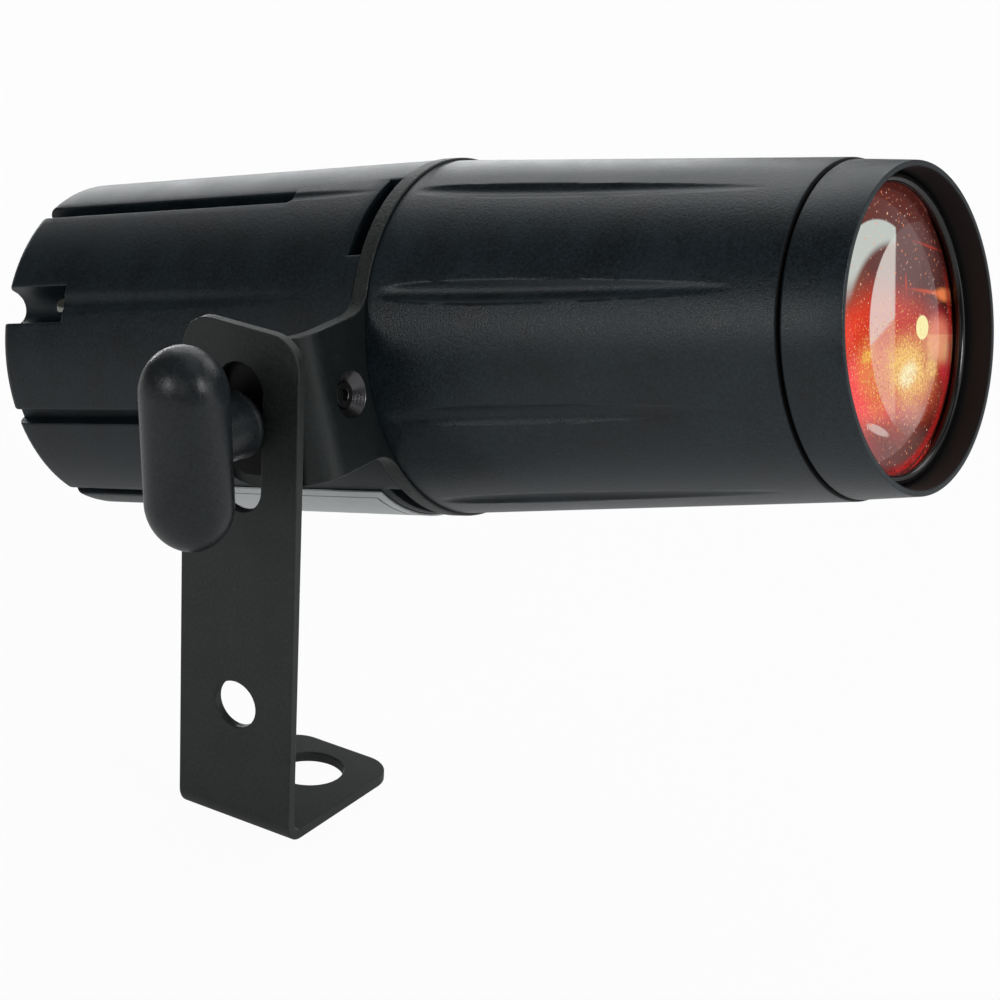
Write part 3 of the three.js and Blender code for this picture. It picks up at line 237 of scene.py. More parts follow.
def turned(name, profile, steps, degrees, loop=True):
    """A profile of (station, radius) points, turned about the lamp's axis."""
    columns = [[ring_point(s, r, 360 * i / steps) for s, r in profile] for i in range(steps)]
    return columns_mesh(name, columns, degrees, loop=loop)


def arc(centre, radius, start, end, steps):
    turns = [math.radians(start + (end - start) * i / steps) for i in range(steps + 1)]
    return [(centre[0] + radius * math.cos(t), centre[1] + radius * math.sin(t)) for t in turns]


def circle(centre, radius, steps=64):
    return arc(centre, radius, 0, 360 - 360 / steps, steps - 1)


def split_at(loop, cuts):
    """Adds points where a loop's lines cross the cuts, and drops points that repeat."""
    result = []
    for i, (u, v) in enumerate(loop):
        before_u, before_v = loop[i - 1]
        if math.hypot(u - before_u, v - before_v) < SAME_POINT:
            continue
        low, high = min(u, before_u) + CUT_CLEARANCE, max(u, before_u) - CUT_CLEARANCE
        for cut in sorted((c for c in cuts if low < c < high), reverse=before_u > u):
            result.append((cut, before_v + (v - before_v) * (cut - before_u) / (u - before_u)))
        result.append((u, v))
    return result


def inset(loop, distance, hole):
    """Moves a loop into its sheet."""
    count = len(loop)
    area = sum(loop[i - 1][0] * loop[i][1] - loop[i][0] * loop[i - 1][1] for i in range(count))
    side = math.copysign(1, area) * (-1 if hole else 1)
    result = []
    for i in range(count):
        point = Vector(loop[i])
        before = (point - Vector(loop[i - 1])).normalized()
        after = (Vector(loop[(i + 1) % count]) - point).normalized()
        middle = Vector((-before.y - after.y, before.x + after.x)).normalized() * side
        lean = max(0.6, Vector((-after.y, after.x)).dot(middle) * side)
        result.append(point + middle * distance / lean)
    return result


def filled(loops, cuts):
    """Points and triangles of a flat pattern; the triangles meet along the cuts."""
    points, edges = [], []
    for loop in loops:
        first = len(points)
        edges += [(first + i, first + (i + 1) % len(loop)) for i in range(len(loop))]
        points += loop
    low, high = min(p.y for p in points) - 1, max(p.y for p in points) + 1
    for cut in cuts:
        edges.append((len(points), len(points) + 1))
        points += [Vector((cut, low)), Vector((cut, high))]
    points, _, faces = delaunay_2d_cdt(points, edges, [], 0, 1e-5)[:3]

    def inside(place):
        crossed = False
        for loop in loops:
            for i, point in enumerate(loop):
                before = loop[i - 1]
                if (point.y > place.y) != (before.y > place.y):
                    at = before.x + (point.x - before.x) * (place.y - before.y) / (point.y - before.y)
                    crossed ^= place.x < at
        return crossed

    return points, [face for face in faces if inside(sum((points[i] for i in face), Vector((0, 0))) / 3)]


def sheet_solid(name, loops, place, thickness, edge, cuts=(), side_slot=0, sink=None):
    """A flat pattern in millimetres made into a sheet with rounded edges.

    The first loop is its outline and the others are holes. The sides take the material in side_slot.
    A sink gives a hole's number and its own profile, which takes the material after that.
    """
    quarter = [math.radians(t) for t in (0, 22.5, 45, 67.5, 90)]
    profile = [(edge * (1 - math.sin(t)), edge * (1 - math.cos(t))) for t in quarter]
    profile += [(shift, thickness - depth) for shift, depth in reversed(profile)]
    solid = bmesh.new()
    fronts, backs = [], []
    for order, loop in enumerate(loops):
        loop = split_at(loop, cuts)
        rows = sink[1] if sink and sink[0] == order else profile
        rings = []
        for shift, depth in rows:
            moved = inset(loop, shift, order > 0)
            rings.append([solid.verts.new(place(p.x, p.y, depth)) for p in moved])
        fronts.append(inset(loop, rows[0][0], order > 0))
        backs.append(inset(loop, rows[-1][0], order > 0))
        for row, (near, far) in enumerate(zip(rings, rings[1:])):
            for i in range(len(near)):
                face = solid.faces.new((near[i - 1], near[i], far[i], far[i - 1]))
                if 0 < row < len(rows) - 2:
                    face.material_index = side_slot + (rows is not profile)
    for flat_loops, depth in ((fronts, 0), (backs, thickness)):
        points, faces = filled(flat_loops, cuts)
        corners = [solid.verts.new(place(p.x, p.y, depth)) for p in points]
        for face in faces:
            solid.faces.new([corners[i] for i in face])
        bmesh.ops.delete(solid, geom=[v for v in corners if not v.link_faces], context="VERTS")
    bmesh.ops.remove_doubles(solid, verts=solid.verts[:], dist=SHEET_WELD_DISTANCE)
    return mesh_of(solid, name, 40)


def levelled(piece):
    """Lets the large faces of a piece keep their flat shading."""
    flat = piece.modifiers.new("flat faces", "WEIGHTED_NORMAL")
    flat.keep_sharp = True
    flat.weight = 90


def bevelled(piece, width):
    bevel = piece.modifiers.new("edges", "BEVEL")
    bevel.width = width
    bevel.segments = 3
    bevel.limit_method = "ANGLE"
    bevel.angle_limit = math.radians(50)
    levelled(piece)


def bend_place(origin, along, across, normal, bend_start, bend_radius):
    """Maps a flat pattern to a sheet that turns a right angle away from its outer face."""
    origin, along, across, normal = (Vector(v) for v in (origin, along, across, normal))
    centre = origin + along * bend_start - normal * bend_radius
    bend_end = bend_start + bend_radius * math.pi / 2

    def place(u, v, depth):
        if u <= bend_start:
            point = origin + along * u - normal * depth
        elif u <= bend_end:
            turn = (u - bend_start) / bend_radius
            point = centre + (normal * math.cos(turn) + along * math.sin(turn)) * (bend_radius - depth)
        else:
            point = centre + along * (bend_radius - depth) - normal * (u - bend_end)
        return (point + across * v) * MM

    return place


def bend_cuts(start, end, steps):
    """Places across a flat pattern where the sheet turns a little in its bend."""
    return [start + (end - start) * i / steps for i in range(steps + 1)]


# Finishes

WHITE = (1, 1, 1, 1)


class Wiring:
    """Adds nodes to a tree and links them."""

    def __init__(self, tree):
        self.tree = tree

    def feed(self, socket, value):
        """Links another node's output to a socket, or sets a plain value there."""
        if isinstance(value, bpy.types.NodeSocket):
            self.tree.links.new(value, socket)
        else:
            socket.default_value = value

    def add(self, kind, inputs=None, **settings):
        node = self.tree.nodes.new(kind)
        for key, value in settings.items():
            setattr(node, key, value)
        for key, value in (inputs or {}).items():
            self.feed(node.inputs[key], value)
        return node

    def math(self, operation, *values, clamp=False):
        inputs = dict(enumerate(values))
        return self.add("ShaderNodeMath", inputs, operation=operation, use_clamp=clamp).outputs["Value"]

    def times(self, *values):
        result = values[0]
        for value in values[1:]:
            result = self.math("MULTIPLY", result, value)
        return result

    def ranged(self, value, low, high, to_low, to_high, curve="LINEAR"):
        inputs = {"Value": value, "From Min": low, "From Max": high, "To Min": to_low, "To Max": to_high}
        return self.add("ShaderNodeMapRange", inputs, interpolation_type=curve).outputs["Result"]

    def shaders(self, amount, first, second):
        """Mixes two shaders: none of the second at 0, only the second at 1."""
        return self.add("ShaderNodeMixShader", {0: amount, 1: first, 2: second}).outputs[0]


class Finish(Wiring):
    """A procedural material under construction."""

    def __init__(self, name):
        self.material = bpy.data.materials.new(name)
        self.material.use_nodes = True
        super().__init__(self.material.node_tree)
        self.shader = self.tree.nodes["Principled BSDF"]
        self.surface = self.tree.nodes["Material Output"].inputs["Surface"]
        self.place = self.add("ShaderNodeTexCoord").outputs["Object"]

    def set(self, **values):
        """Sets or links sockets of the shader; an underscore stands for a space."""
        for key, value in values.items():
            self.feed(self.shader.inputs[key.replace("_", " ")], value)

    def noise(self, scale, detail, roughness=0.55):
        inputs = {"Vector": self.place, "Scale": scale, "Detail": detail, "Roughness": roughness}
        return self.add("ShaderNodeTexNoise", inputs).outputs["Fac"]

    def mixed(self, amount, first, second):
        return self.add("ShaderNodeMix", {0: amount, 6: first, 7: second}, data_type="RGBA").outputs[2]

    def bump(self, height, strength, distance, under=None):
        inputs = {"Height": height, "Strength": strength, "Distance": distance}
        if under:
            inputs["Normal"] = under
        return self.add("ShaderNodeBump", inputs).outputs["Normal"]

    def blob(self, place, reach, lean, soft):
        """An oval patch on the lens's plane: its centre and reach in millimetres, and its lean."""
        inputs = {
            "Vector": self.place, "Location": (0, place[0] * MM, place[1] * MM),
            "Rotation": (math.radians(lean), 0, 0), "Scale": (50, reach[0] * MM, reach[1] * MM)}
        moved = self.add("ShaderNodeMapping", inputs, vector_type="TEXTURE").outputs[0]
        away = self.add("ShaderNodeVectorMath", {0: moved}, operation="LENGTH").outputs["Value"]
        return self.ranged(away, 1 - soft, 1 + soft, 1, 0, "SMOOTHSTEP")

    def band(self, place, degrees, low, high):
        """Grows from 0 to 1 across the lens's plane, between two distances from a place in millimetres."""
        turn = math.radians(degrees)
        across = (0, math.cos(turn), math.sin(turn))
        start = place[0] * across[1] + place[1] * across[2]
        inputs = {0: self.place, 1: across}
        along = self.add("ShaderNodeVectorMath", inputs, operation="DOT_PRODUCT").outputs["Value"]
        return self.ranged(along, (start + low) * MM, (start + high) * MM, 0, 1, "SMOOTHSTEP")


def seen(red, green, blue):
    """A colour written in the eight-bit values that a screen shows."""
    return tuple(
        (value / 255 + 0.055) ** 2.4 / 1.055 ** 2.4 if value > 10 else value / 3294.6
        for value in (red, green, blue)) + (1,)


def scaled(value, factor):
    return tuple(min(1, channel * factor) for channel in value)


def tone(value, factor=1.0):
    return scaled(value, factor) + (1,)


DUST_CELLS = 420.0
DUST_SHARE = 0.35
DUST_COLOUR = (0.3, 0.31, 0.32, 1)
ROUGHNESS_SPREAD = 0.07


def coated(name, base, roughness, grain=4200, height=0.00004, strength=0.35, spread=0.16,
           metallic=0.0, specks=0.0, wide=90, specular=0.5):
    """A finish with fine grain, slow changes of tone and, if asked, light specks of dust.

    Grain and wide are the scales of the fine and the slow pattern, height is the bump's in metres, and
    spread is how far the tone strays from the base, as a share of it.
    """
    made = Finish(name)
    slow = made.noise(wide, 3)
    fine = made.noise(grain, 2, 0.6)
    mottle = made.noise(grain * 0.42, 2, 0.7)
    shade = made.math("ADD", made.times(slow, 0.4), made.times(mottle, 0.6))
    tinted = made.mixed(made.ranged(shade, 0.36, 0.64, 0, 1), tone(base, 1 - spread), tone(base, 1 + spread))
    if specks:
        cells = made.add("ShaderNodeTexVoronoi", {"Vector": made.place, "Scale": DUST_CELLS}).outputs
        near = made.ranged(cells["Distance"], 0.03, 0.10, 1, 0)
        chance = made.add("ShaderNodeSeparateColor", {"Color": cells["Color"]}).outputs[0]
        picked = made.math("GREATER_THAN", chance, 1 - specks)
        tinted = made.mixed(made.times(near, picked, DUST_SHARE), tinted, DUST_COLOUR)
    low, high = roughness - ROUGHNESS_SPREAD, roughness + ROUGHNESS_SPREAD
    coarse = made.bump(mottle, strength, height * 1.2)
    made.set(
        Base_Color=tinted, Roughness=made.ranged(shade, 0.3, 0.7, low, high),
        Normal=made.bump(fine, strength, height, coarse), Metallic=metallic, Specular_IOR_Level=specular)
    return made


# Finishes that no property changes: the material's name, base colour, roughness and other settings
FIXED_FINISHES = {
    "inner_paint": ("matt_black_inside", (0.006, 0.0055, 0.0055), 0.6, {"specular": 0.3}),
    "nylon": ("black_nylon", (0.006, 0.006, 0.0055), 0.55, {"grain": 5000, "specular": 0.25}),
    "black_steel": (
        "black_oxide_steel", (0.05, 0.05, 0.052), 0.32, {"grain": 2600, "metallic": 0.8, "spread": 0.3}),
    "zinc": ("zinc_steel", (0.55, 0.57, 0.58), 0.34, {"grain": 1800, "metallic": 1.0, "spread": 0.12}),
    "bright": ("bright_zinc", (0.30, 0.31, 0.28), 0.16, {"grain": 1200, "metallic": 1.0, "spread": 0.2}),
    "aluminium": ("bare_aluminium", (0.45, 0.46, 0.47), 0.42, {"grain": 1500, "metallic": 1.0}),
    "anodised": ("black_anodised", (0.03, 0.032, 0.034), 0.38, {"grain": 1500, "metallic": 0.6}),
    "board": ("green_board", (0.02, 0.11, 0.045), 0.35, {"grain": 900, "spread": 0.3}),
    "white_board": ("white_board", (0.7, 0.7, 0.68), 0.45, {"grain": 900}),
    "copper": ("copper_winding", (0.42, 0.19, 0.09), 0.35, {"grain": 700, "metallic": 0.9, "spread": 0.3}),
    "sleeve": ("capacitor_sleeve", (0.02, 0.035, 0.09), 0.3, {"grain": 900}),
    "terminal": ("terminal_green", (0.03, 0.2, 0.07), 0.4, {"grain": 1200}),
    "red_lead": ("red_insulation", (0.35, 0.02, 0.015), 0.45, {"grain": 2200}),
    "module": ("module_grey", (0.03, 0.03, 0.032), 0.3, {"grain": 1500}),
    "gasket": ("gloss_black_ring", (0.006, 0.006, 0.006), 0.16, {"grain": 2600, "height": 0.00001}),
    "smoked": ("smoked_window", (0.012, 0.008, 0.009), 0.07, {"grain": 500, "height": 0.000004}),
    "emitter": ("red_emitter", (0.8, 0.05, 0.02), 0.25, {"grain": 1500}),
    "acrylic": ("clear_acrylic", (0.85, 0.88, 0.88), 0.06, {"grain": 700, "height": 0.000004}),
}
FINISHES = {}


def finish(name):
    return FINISHES[name].material


def user_finishes(colours):
    """The finishes that follow the user's colours or roughness, in the form of FIXED_FINISHES."""
    rough = colours.paint_roughness
    grainy = {"height": 0.00007, "strength": 0.55}
    cast = {**grainy, "specks": 0.03, "spread": 0.75}
    sheet = {"grain": 3600, "spread": 0.65}
    cut = {"grain": 2400, "height": 0.00016, "strength": 0.8, "spread": 0.5, "wide": 1500}
    knob = {"grain": 3400, "height": 0.00006, "strength": 0.5, "spread": 0.45, "specular": 0.4}
    return {
        "paint": ("satin_black_paint", colours.paint, rough, cast),
        "cast": ("satin_black_cast", scaled(colours.paint, 0.85), rough + 0.05, {**cast, "specular": 0.42}),
        "sheet": ("satin_black_sheet", colours.sheet_paint, rough + 0.11, {**sheet, **grainy}),
        "foot_top": ("matt_black_foot", colours.sheet_paint, 0.6, {**sheet, "specular": 0.2}),
        "plate": ("satin_black_plate", (0.0095, 0.0135, 0.0135), rough - 0.01, {**sheet, "spread": 0.35}),
        "cut_edge": ("grainy_cut_edge", scaled(colours.sheet_paint, 1.2), 0.5, cut),
        "knob": ("moulded_black_plastic", colours.knob, 0.31, knob),
    }


def make_finishes():
    """The finishes of every piece, once."""
    if FINISHES:
        return
    colours = bpy.context.scene.pinspot_colours
    rows = {**user_finishes(colours), **FIXED_FINISHES}
    for name, (material, base, roughness, settings) in rows.items():
        FINISHES[name] = coated(material, base, roughness, **settings)
    FINISHES["acrylic"].set(Transmission_Weight=0.9, IOR=1.49)
    FINISHES["cone"] = cone_finish()
    FINISHES["label"] = label_finish(colours.label)
    FINISHES["lens"] = lens_finish()
    FINISHES["glow"] = glow_finish(colours.glow)


def cone_finish():
    """Bare turned metal of the countersink, with fine rings round the screw's axis."""
    made = coated("turned_cone", (0.11, 0.105, 0.11), 0.3, grain=2600, metallic=0.95, spread=0.1)
    ring_pitch = 0.42 * MM
    station = made.add("ShaderNodeSeparateXYZ", {"Vector": made.place}).outputs["X"]
    ring = made.math("SINE", made.times(station, 2 * math.pi / ring_pitch))
    made.set(Normal=made.bump(ring, 0.3, 0.00001))
    return made


def label_finish(base):
    """Silver-white film with a thin dark border and empty ruled fields."""
    made = coated("label_film", base, 0.34, grain=1400, height=0.00001, spread=0.05, wide=60)
    film = made.shader.inputs["Base Color"].links[0].from_socket
    uv = made.add("ShaderNodeUVMap").outputs["UV"]
    parts = made.add("ShaderNodeSeparateXYZ", {"Vector": uv}).outputs
    along, round_it = parts["X"], parts["Y"]
    ends, sides, rules = (0.05, 0.95), (0.04, 0.96), (0.30, 0.52, 0.74)

    def line(value, place, width):
        gap = made.math("ABSOLUTE", made.math("SUBTRACT", value, place))
        return made.math("LESS_THAN", gap, width / 2)

    def inside(value, low, high):
        return made.times(made.math("GREATER_THAN", value, low), made.math("LESS_THAN", value, high))

    between_ends, between_sides = inside(along, *ends), inside(round_it, *sides)
    marks = 0.0
    for value, places, width, limit in (
            (along, ends, 0.012, between_sides), (round_it, sides, 0.006, between_ends),
            (round_it, rules, 0.003, between_ends)):
        for place in places:
            marks = made.math("MAXIMUM", marks, made.times(line(value, place, width), limit))
    made.set(Base_Color=made.mixed(marks, film, (0.03, 0.035, 0.04, 1)))
    return made


def lens_finish():
    """Clear polished glass: what is behind it shows, and its surface mirrors the room at a glance."""
    made = Finish("clear_glass")
    clear = made.add("ShaderNodeBsdfTransparent", {"Color": WHITE}).outputs[0]
    gloss = made.add("ShaderNodeBsdfGlossy", {"Color": WHITE, "Roughness": 0.03}).outputs[0]
    amount = made.add("ShaderNodeFresnel", {"IOR": 1.26}).outputs[0]
    made.feed(made.surface, made.shaders(amount, clear, gloss))
    made.tree.nodes.remove(made.shader)
    return made


# Ovals that are laid on the lens's plane one after the other: centre and reach in millimetres, lean in
# degrees, softness, strength, whether the speckle breaks them up, and colour as a screen shows it. None
# stands for the user's glow colour.
EMBERS_AND_GOLD = (
    ((1, 15), (19, 12), 0, 0.5, 0.9, False, (104, 52, 46)),
    ((9, 8), (13, 9), -20, 0.5, 0.85, False, (100, 64, 62)),
    ((-13, 9), (8, 6), 0, 0.6, 0.7, False, (140, 84, 66)),
    ((-11, -1.5), (17, 8.5), 12, 0.42, 0.95, False, (216, 58, 34)),
    ((-15, 2.6), (7, 3), 14, 0.6, 0.6, True, None),
    ((5, -2.6), (12, 6.2), -10, 0.6, 0.95, False, (206, 48, 34)),
    ((-9, -11), (16, 8.6), -8, 0.35, 0.95, False, (252, 84, 90)),
    ((5, -11), (13, 7), -8, 0.5, 0.85, False, (206, 78, 58)),
    ((21, -10.5), (4.2, 8), 14, 0.4, 0.9, False, (206, 40, 56)),
    ((-6, -15.5), (9, 3.4), -24, 0.6, 0.6, False, (244, 112, 104)),
    ((5.6, -9), (7.4, 5.2), -20, 0.6, 0.8, True, (232, 128, 62)),
    ((6, -8.6), (5.4, 3.4), -16, 0.55, 1, True, (250, 206, 112)),
    ((4.9, -9.2), (3.0, 1.5), 10, 0.5, 1, True, (255, 250, 206)),
    ((-7.6, -4.6), (4.2, 4.6), -60, 0.6, 0.85, True, (226, 150, 74)),
    ((-7.6, -2.6), (1.9, 1.0), 0, 0.6, 1, True, (246, 204, 92)),
    ((-6.4, -10), (3.4, 3.2), -60, 0.6, 0.6, True, (226, 138, 72)),
)
# The shelf's hot corner and its edge, an orange streak on the right with its thin tail, fine red lines
CORNER_AND_STREAKS = (
    ((14.8, -11.2), (1.8, 1.6), 0, 0.5, 1, True, (248, 196, 100)),
    ((12.3, -8.7), (0.8, 3.5), -16, 0.4, 0.75, False, (196, 58, 34)),
    ((19, 1.5), (7.5, 0.34), -18.8, 0.6, 0.8, False, (216, 84, 50)),
    ((23.4, -0.1), (3.6, 1.1), -18.8, 0.5, 0.95, False, (255, 142, 84)),
    ((19.6, 9.6), (5, 0.22), -24, 0.6, 0.7, False, (190, 60, 44)),
    ((9.6, 5.6), (0.3, 1.5), -10, 0.7, 0.8, False, (214, 60, 40)),
)
# Painted reflection as pale haze at the lens's foot, the gold seen through it, a pale streak and the
# emitter's small round image
FRONT_OVALS = (
    ((-7.6, -19.5), (10, 3.6), -34, 0.6, 0.75, False, (126, 84, 84)),
    ((0, -20.5), (11, 4.4), -24, 0.5, 0.72, False, (112, 76, 72)),
    ((18.5, -6.5), (5, 3.4), -14, 0.5, 0.6, False, (250, 158, 124)),
    ((6.8, -9.0), (7.4, 5.0), -18, 0.6, 0.9, True, (255, 216, 126)),
    ((6.1, -9.8), (3.1, 1.9), 10, 0.5, 1, True, (255, 250, 206)),
    ((-7.7, -15.6), (4.0, 0.75), -28.7, 0.2, 0.72, False, (216, 192, 186)),
    ((13.4, -3.3), (2.3, 2.1), 0, 0.06, 1, False, (255, 244, 176)),
)
# Dust and sparkles: scale, size, the share that is kept, shift, strength, only on the gold, and colour
SPARKLES = (
    (1700.0, 0.46, 0.7, 0.0, 1, True, (255, 220, 110)),
    (1250.0, 0.4, 0.5, 0.13, 0.6, True, (170, 40, 20)),
    (620.0, 0.2, 0.6, 0.3, 0.95, False, (255, 150, 100)),
    (900.0, 0.2, 0.35, 0.7, 0.9, False, (255, 220, 200)),
    (330.0, 0.11, 0.3, 0.5, 0.95, False, (255, 196, 160)),
)


def glow_finish(base):
    """The lit inside of the lamp as the thick lens shows it, all painted as emitted light: embers, speckled
    gold, and pale haze that is a painted reflection of the room in the glass.
    """
    made = Finish("lens_glow")
    grain = made.noise(520.0, 5, 0.7)
    speckle = made.noise(2300.0, 3, 0.75)
    clumps = made.ranged(speckle, 0.44, 0.56, 0.28, 1)

    def over(under, amount, on_top):
        return made.mixed(made.math("ADD", amount, 0.0, clamp=True), under, on_top)

    def ovals(under, rows):
        for place, reach, lean, soft, strength, broken, shown in rows:
            amount = made.blob(place, reach, lean, soft)
            if broken:
                amount = made.times(amount, clumps)
            under = over(under, made.times(amount, strength), seen(*shown) if shown else tone(base))
        return under

    def dots(scale, size, share_kept, shift):
        inputs = {"Vector": made.place, "Location": (shift,) * 3, "Rotation": (0, math.pi / 2, 0)}
        inputs = {"Vector": made.add("ShaderNodeMapping", inputs).outputs[0], "Scale": scale}
        cells = made.add("ShaderNodeTexVoronoi", inputs, voronoi_dimensions="2D").outputs
        chance = made.add("ShaderNodeSeparateColor", {"Color": cells["Color"]}).outputs
        reach = made.ranged(chance[1], 0, 1, size * 0.35, size)
        near = made.math("DIVIDE", cells["Distance"], reach)
        kept = made.math("LESS_THAN", chance[0], share_kept)
        strength = made.math("POWER", chance[2], 1.2)
        return made.times(made.ranged(near, 0.4, 1.0, 1, 0, "SMOOTHSTEP"), kept, strength)

    def rest_of(value):
        return made.math("SUBTRACT", 1, value)

    # Dark ring, embers, gold clusters broken up by their speckle, and the lit shelf beside them
    image = made.mixed(grain, seen(50, 15, 12), seen(96, 34, 28))
    image = ovals(image, EMBERS_AND_GOLD)
    shelf = made.times(
        made.band((15.7, -5.0), 254.8, 0.0, 0.35), made.band((15.7, -5.0), 254.8, 6.6, 3.0),
        made.band((14.6, -6.0), -15, -0.6, 0.8), made.ranged(grain, 0.3, 0.7, 0.5, 1))
    image = over(image, shelf, seen(240, 186, 130))
    image = ovals(image, CORNER_AND_STREAKS)

    # Painted reflection: the room mirrored in the two faces of the glass, laid on as pale haze
    open_mouth = made.blob((0.9, 1.5), (21.4, 21.4), 0, 0.012)
    reflected_leaf = made.times(open_mouth, made.blob((12.7, -3.8), (19, 19), 0, 0.012))
    beyond = made.band((5.6, 6.5), -16.5, -0.3, 0.5)
    low_side = made.band((3.9, 0.9), 283, -0.4, 0.5)
    left_of_band = made.times(reflected_leaf, rest_of(beyond))
    fading = made.ranged(made.band((7.0, 6.0), -16.5, 19, 0), 0, 1, 0.0, 0.10)
    foot = made.blob((4.6, -17.5), (6, 4), -30, 0.7)
    # The patch is a painted reflection of a bright part of the room in the glass
    reflected_patch = made.times(
        made.blob((-2.0, 4.6), (16.4, 14.6), -6, 0.015),
        rest_of(made.blob((1.5, 0.4), (15.4, 13.6), 8, 0.07)),
        rest_of(made.band((8.2, 15.4), -14, -0.2, 0.3)), made.band((-12.5, 6.5), 90, 0, 6))
    for amount, shown in (
            (made.times(left_of_band, rest_of(low_side), 0.68), (236, 226, 220)),
            (made.times(left_of_band, low_side, 0.46), (242, 200, 182)),
            (made.times(reflected_leaf, beyond, fading), (196, 186, 188)),
            (made.times(reflected_leaf, foot, 0.4), (208, 168, 158)),
            (made.times(reflected_patch, 0.86), (204, 212, 206))):
        image = over(image, amount, seen(*shown))
    image = ovals(image, FRONT_OVALS)

    # Dust and sparkles
    gold = made.blob((1, -7), (15, 10), -10, 0.5)
    for scale, size, share_kept, shift, strength, on_gold, shown in SPARKLES:
        amount = dots(scale, size, share_kept, shift)
        if on_gold:
            amount = made.times(amount, gold)
        image = over(image, made.times(amount, strength), seen(*shown))

    # Edge of the glass, with a red glint low on its right
    rim = rest_of(made.blob((0, 0), (23.6, 23.6), 0, 0.03))
    image = over(image, made.times(rim, made.ranged(grain, 0.3, 0.7, 0.35, 0.85)), seen(52, 16, 14))
    glint = made.times(
        rim, made.blob((0, 0), (24.9, 24.9), 0, 0.012), made.band((8, -6), -50, 0, 9),
        made.ranged(speckle, 0.4, 0.6, 0.2, 0.9))
    image = over(image, glint, seen(206, 40, 38))
    made.set(
        Emission_Color=image, Emission_Strength=1.0, Base_Color=(0, 0, 0, 1), Roughness=0.5,
        Specular_IOR_Level=0.0)
    return made


# Housing

LONG_SLOT_END, SHORT_SLOT_END = -14.2, -45.0
LONG_SLOTS = (21, 101, 261, 341)
LABEL_SLOTS = (141, 221)
SLOTS = [(centre, LONG_SLOT_END) for centre in LONG_SLOTS]
SLOTS += [(centre, SHORT_SLOT_END) for centre in LABEL_SLOTS]
RECESSES = (61, 181, 301)
BARE_RECESS = 181  # no hollow runs on from it
RECESS_RADIUS = 3.65
RECESS_WALL_RADIUS = 5.25
BOLT_CIRCLE = 28.9
VENTS = (31, 149, 211, 329)
VENT_HALF_DEGREES = 17
VENT_LENGTH = 3.1
VENT_FLOOR = 25.4
MOUTH_RADIUS, MOUTH_CHAMFER = 27.5, 0.3
PANEL_SEAT = -71.2
HOUSING_FRONT_EDGE = 0.25
SEAM_RADIUS, SEAM_DEPTH = 27.4, 2  # the skin's last row of points, inside the housing behind its front
LUG_CENTRE, LUG_SIZE, LUG_EDGE = (4.9, -35.8, 0), (7.6, 12.6, 9.8), 0.8
SKIN_STEP_DEGREES, SKIN_STEP = 3, 3.5
DEGREES_PER_MM = math.degrees(1 / 32.3)  # on the housing's skin
WORN_EDGE = (-0.02, 0.02, 0.1, 0.22, 0.45)  # rows of points across a cut's edge, outward
LIP_HEIGHT, LIP_REACH = 0.24, 0.42
SLOT_HOLLOW = (0.55, 0.28)  # depth and curve; a recess's hollow also ends at a gap behind the front
RECESS_HOLLOW, RECESS_HOLLOW_GAP = (0.75, 0.22), 8


def wrap(degrees):
    return (degrees + 180) % 360 - 180


def beside_cut(skin, side, ahead, floor):
    """The radius near a cut, from the distances outside its side and its end: its floor or a worn lip."""
    if side < 0 and ahead < 0:
        return min(skin, floor)
    distance = math.hypot(max(0, side), max(0, ahead))
    return skin - (LIP_HEIGHT * (1 - distance / LIP_REACH) ** 2 if distance < LIP_REACH else 0)


def hollow(skin, y, station, start, end, shape):
    """The radius in a shallow hollow that runs on from a cut and fades."""
    if station <= start:
        return skin
    depth, curve = shape
    return skin - max(0, depth * (1 - (station - start) / (end - start)) - curve * y * y)


def housing_directions(half_slot):
    """Directions of the housing's columns: close together at the cuts, evenly apart elsewhere."""
    near = {0.0, 360.0}
    for cuts, half, floor_rows in (
            ([centre for centre, _ in SLOTS], half_slot, (0, 0.4, 0.8)),
            (RECESSES, RECESS_RADIUS, (0, 0.7, 1.4, 2.1, 2.8))):
        rows = [half + step for step in (-0.5,) + WORN_EDGE] + list(floor_rows)
        near |= {centre + side * row * DEGREES_PER_MM for centre in cuts for side in (-1, 1) for row in rows}
    near |= {centre + side * VENT_HALF_DEGREES + side * step * DEGREES_PER_MM
             for centre in VENTS for side in (-1, 1) for step in WORN_EDGE}
    placed = sorted(degrees % 360 for degrees in near)
    even = {x for x in range(0, 360, SKIN_STEP_DEGREES) if min(abs(wrap(x - y)) for y in placed) > 0.5}
    return sorted({round(x, 4) for x in placed} | even)


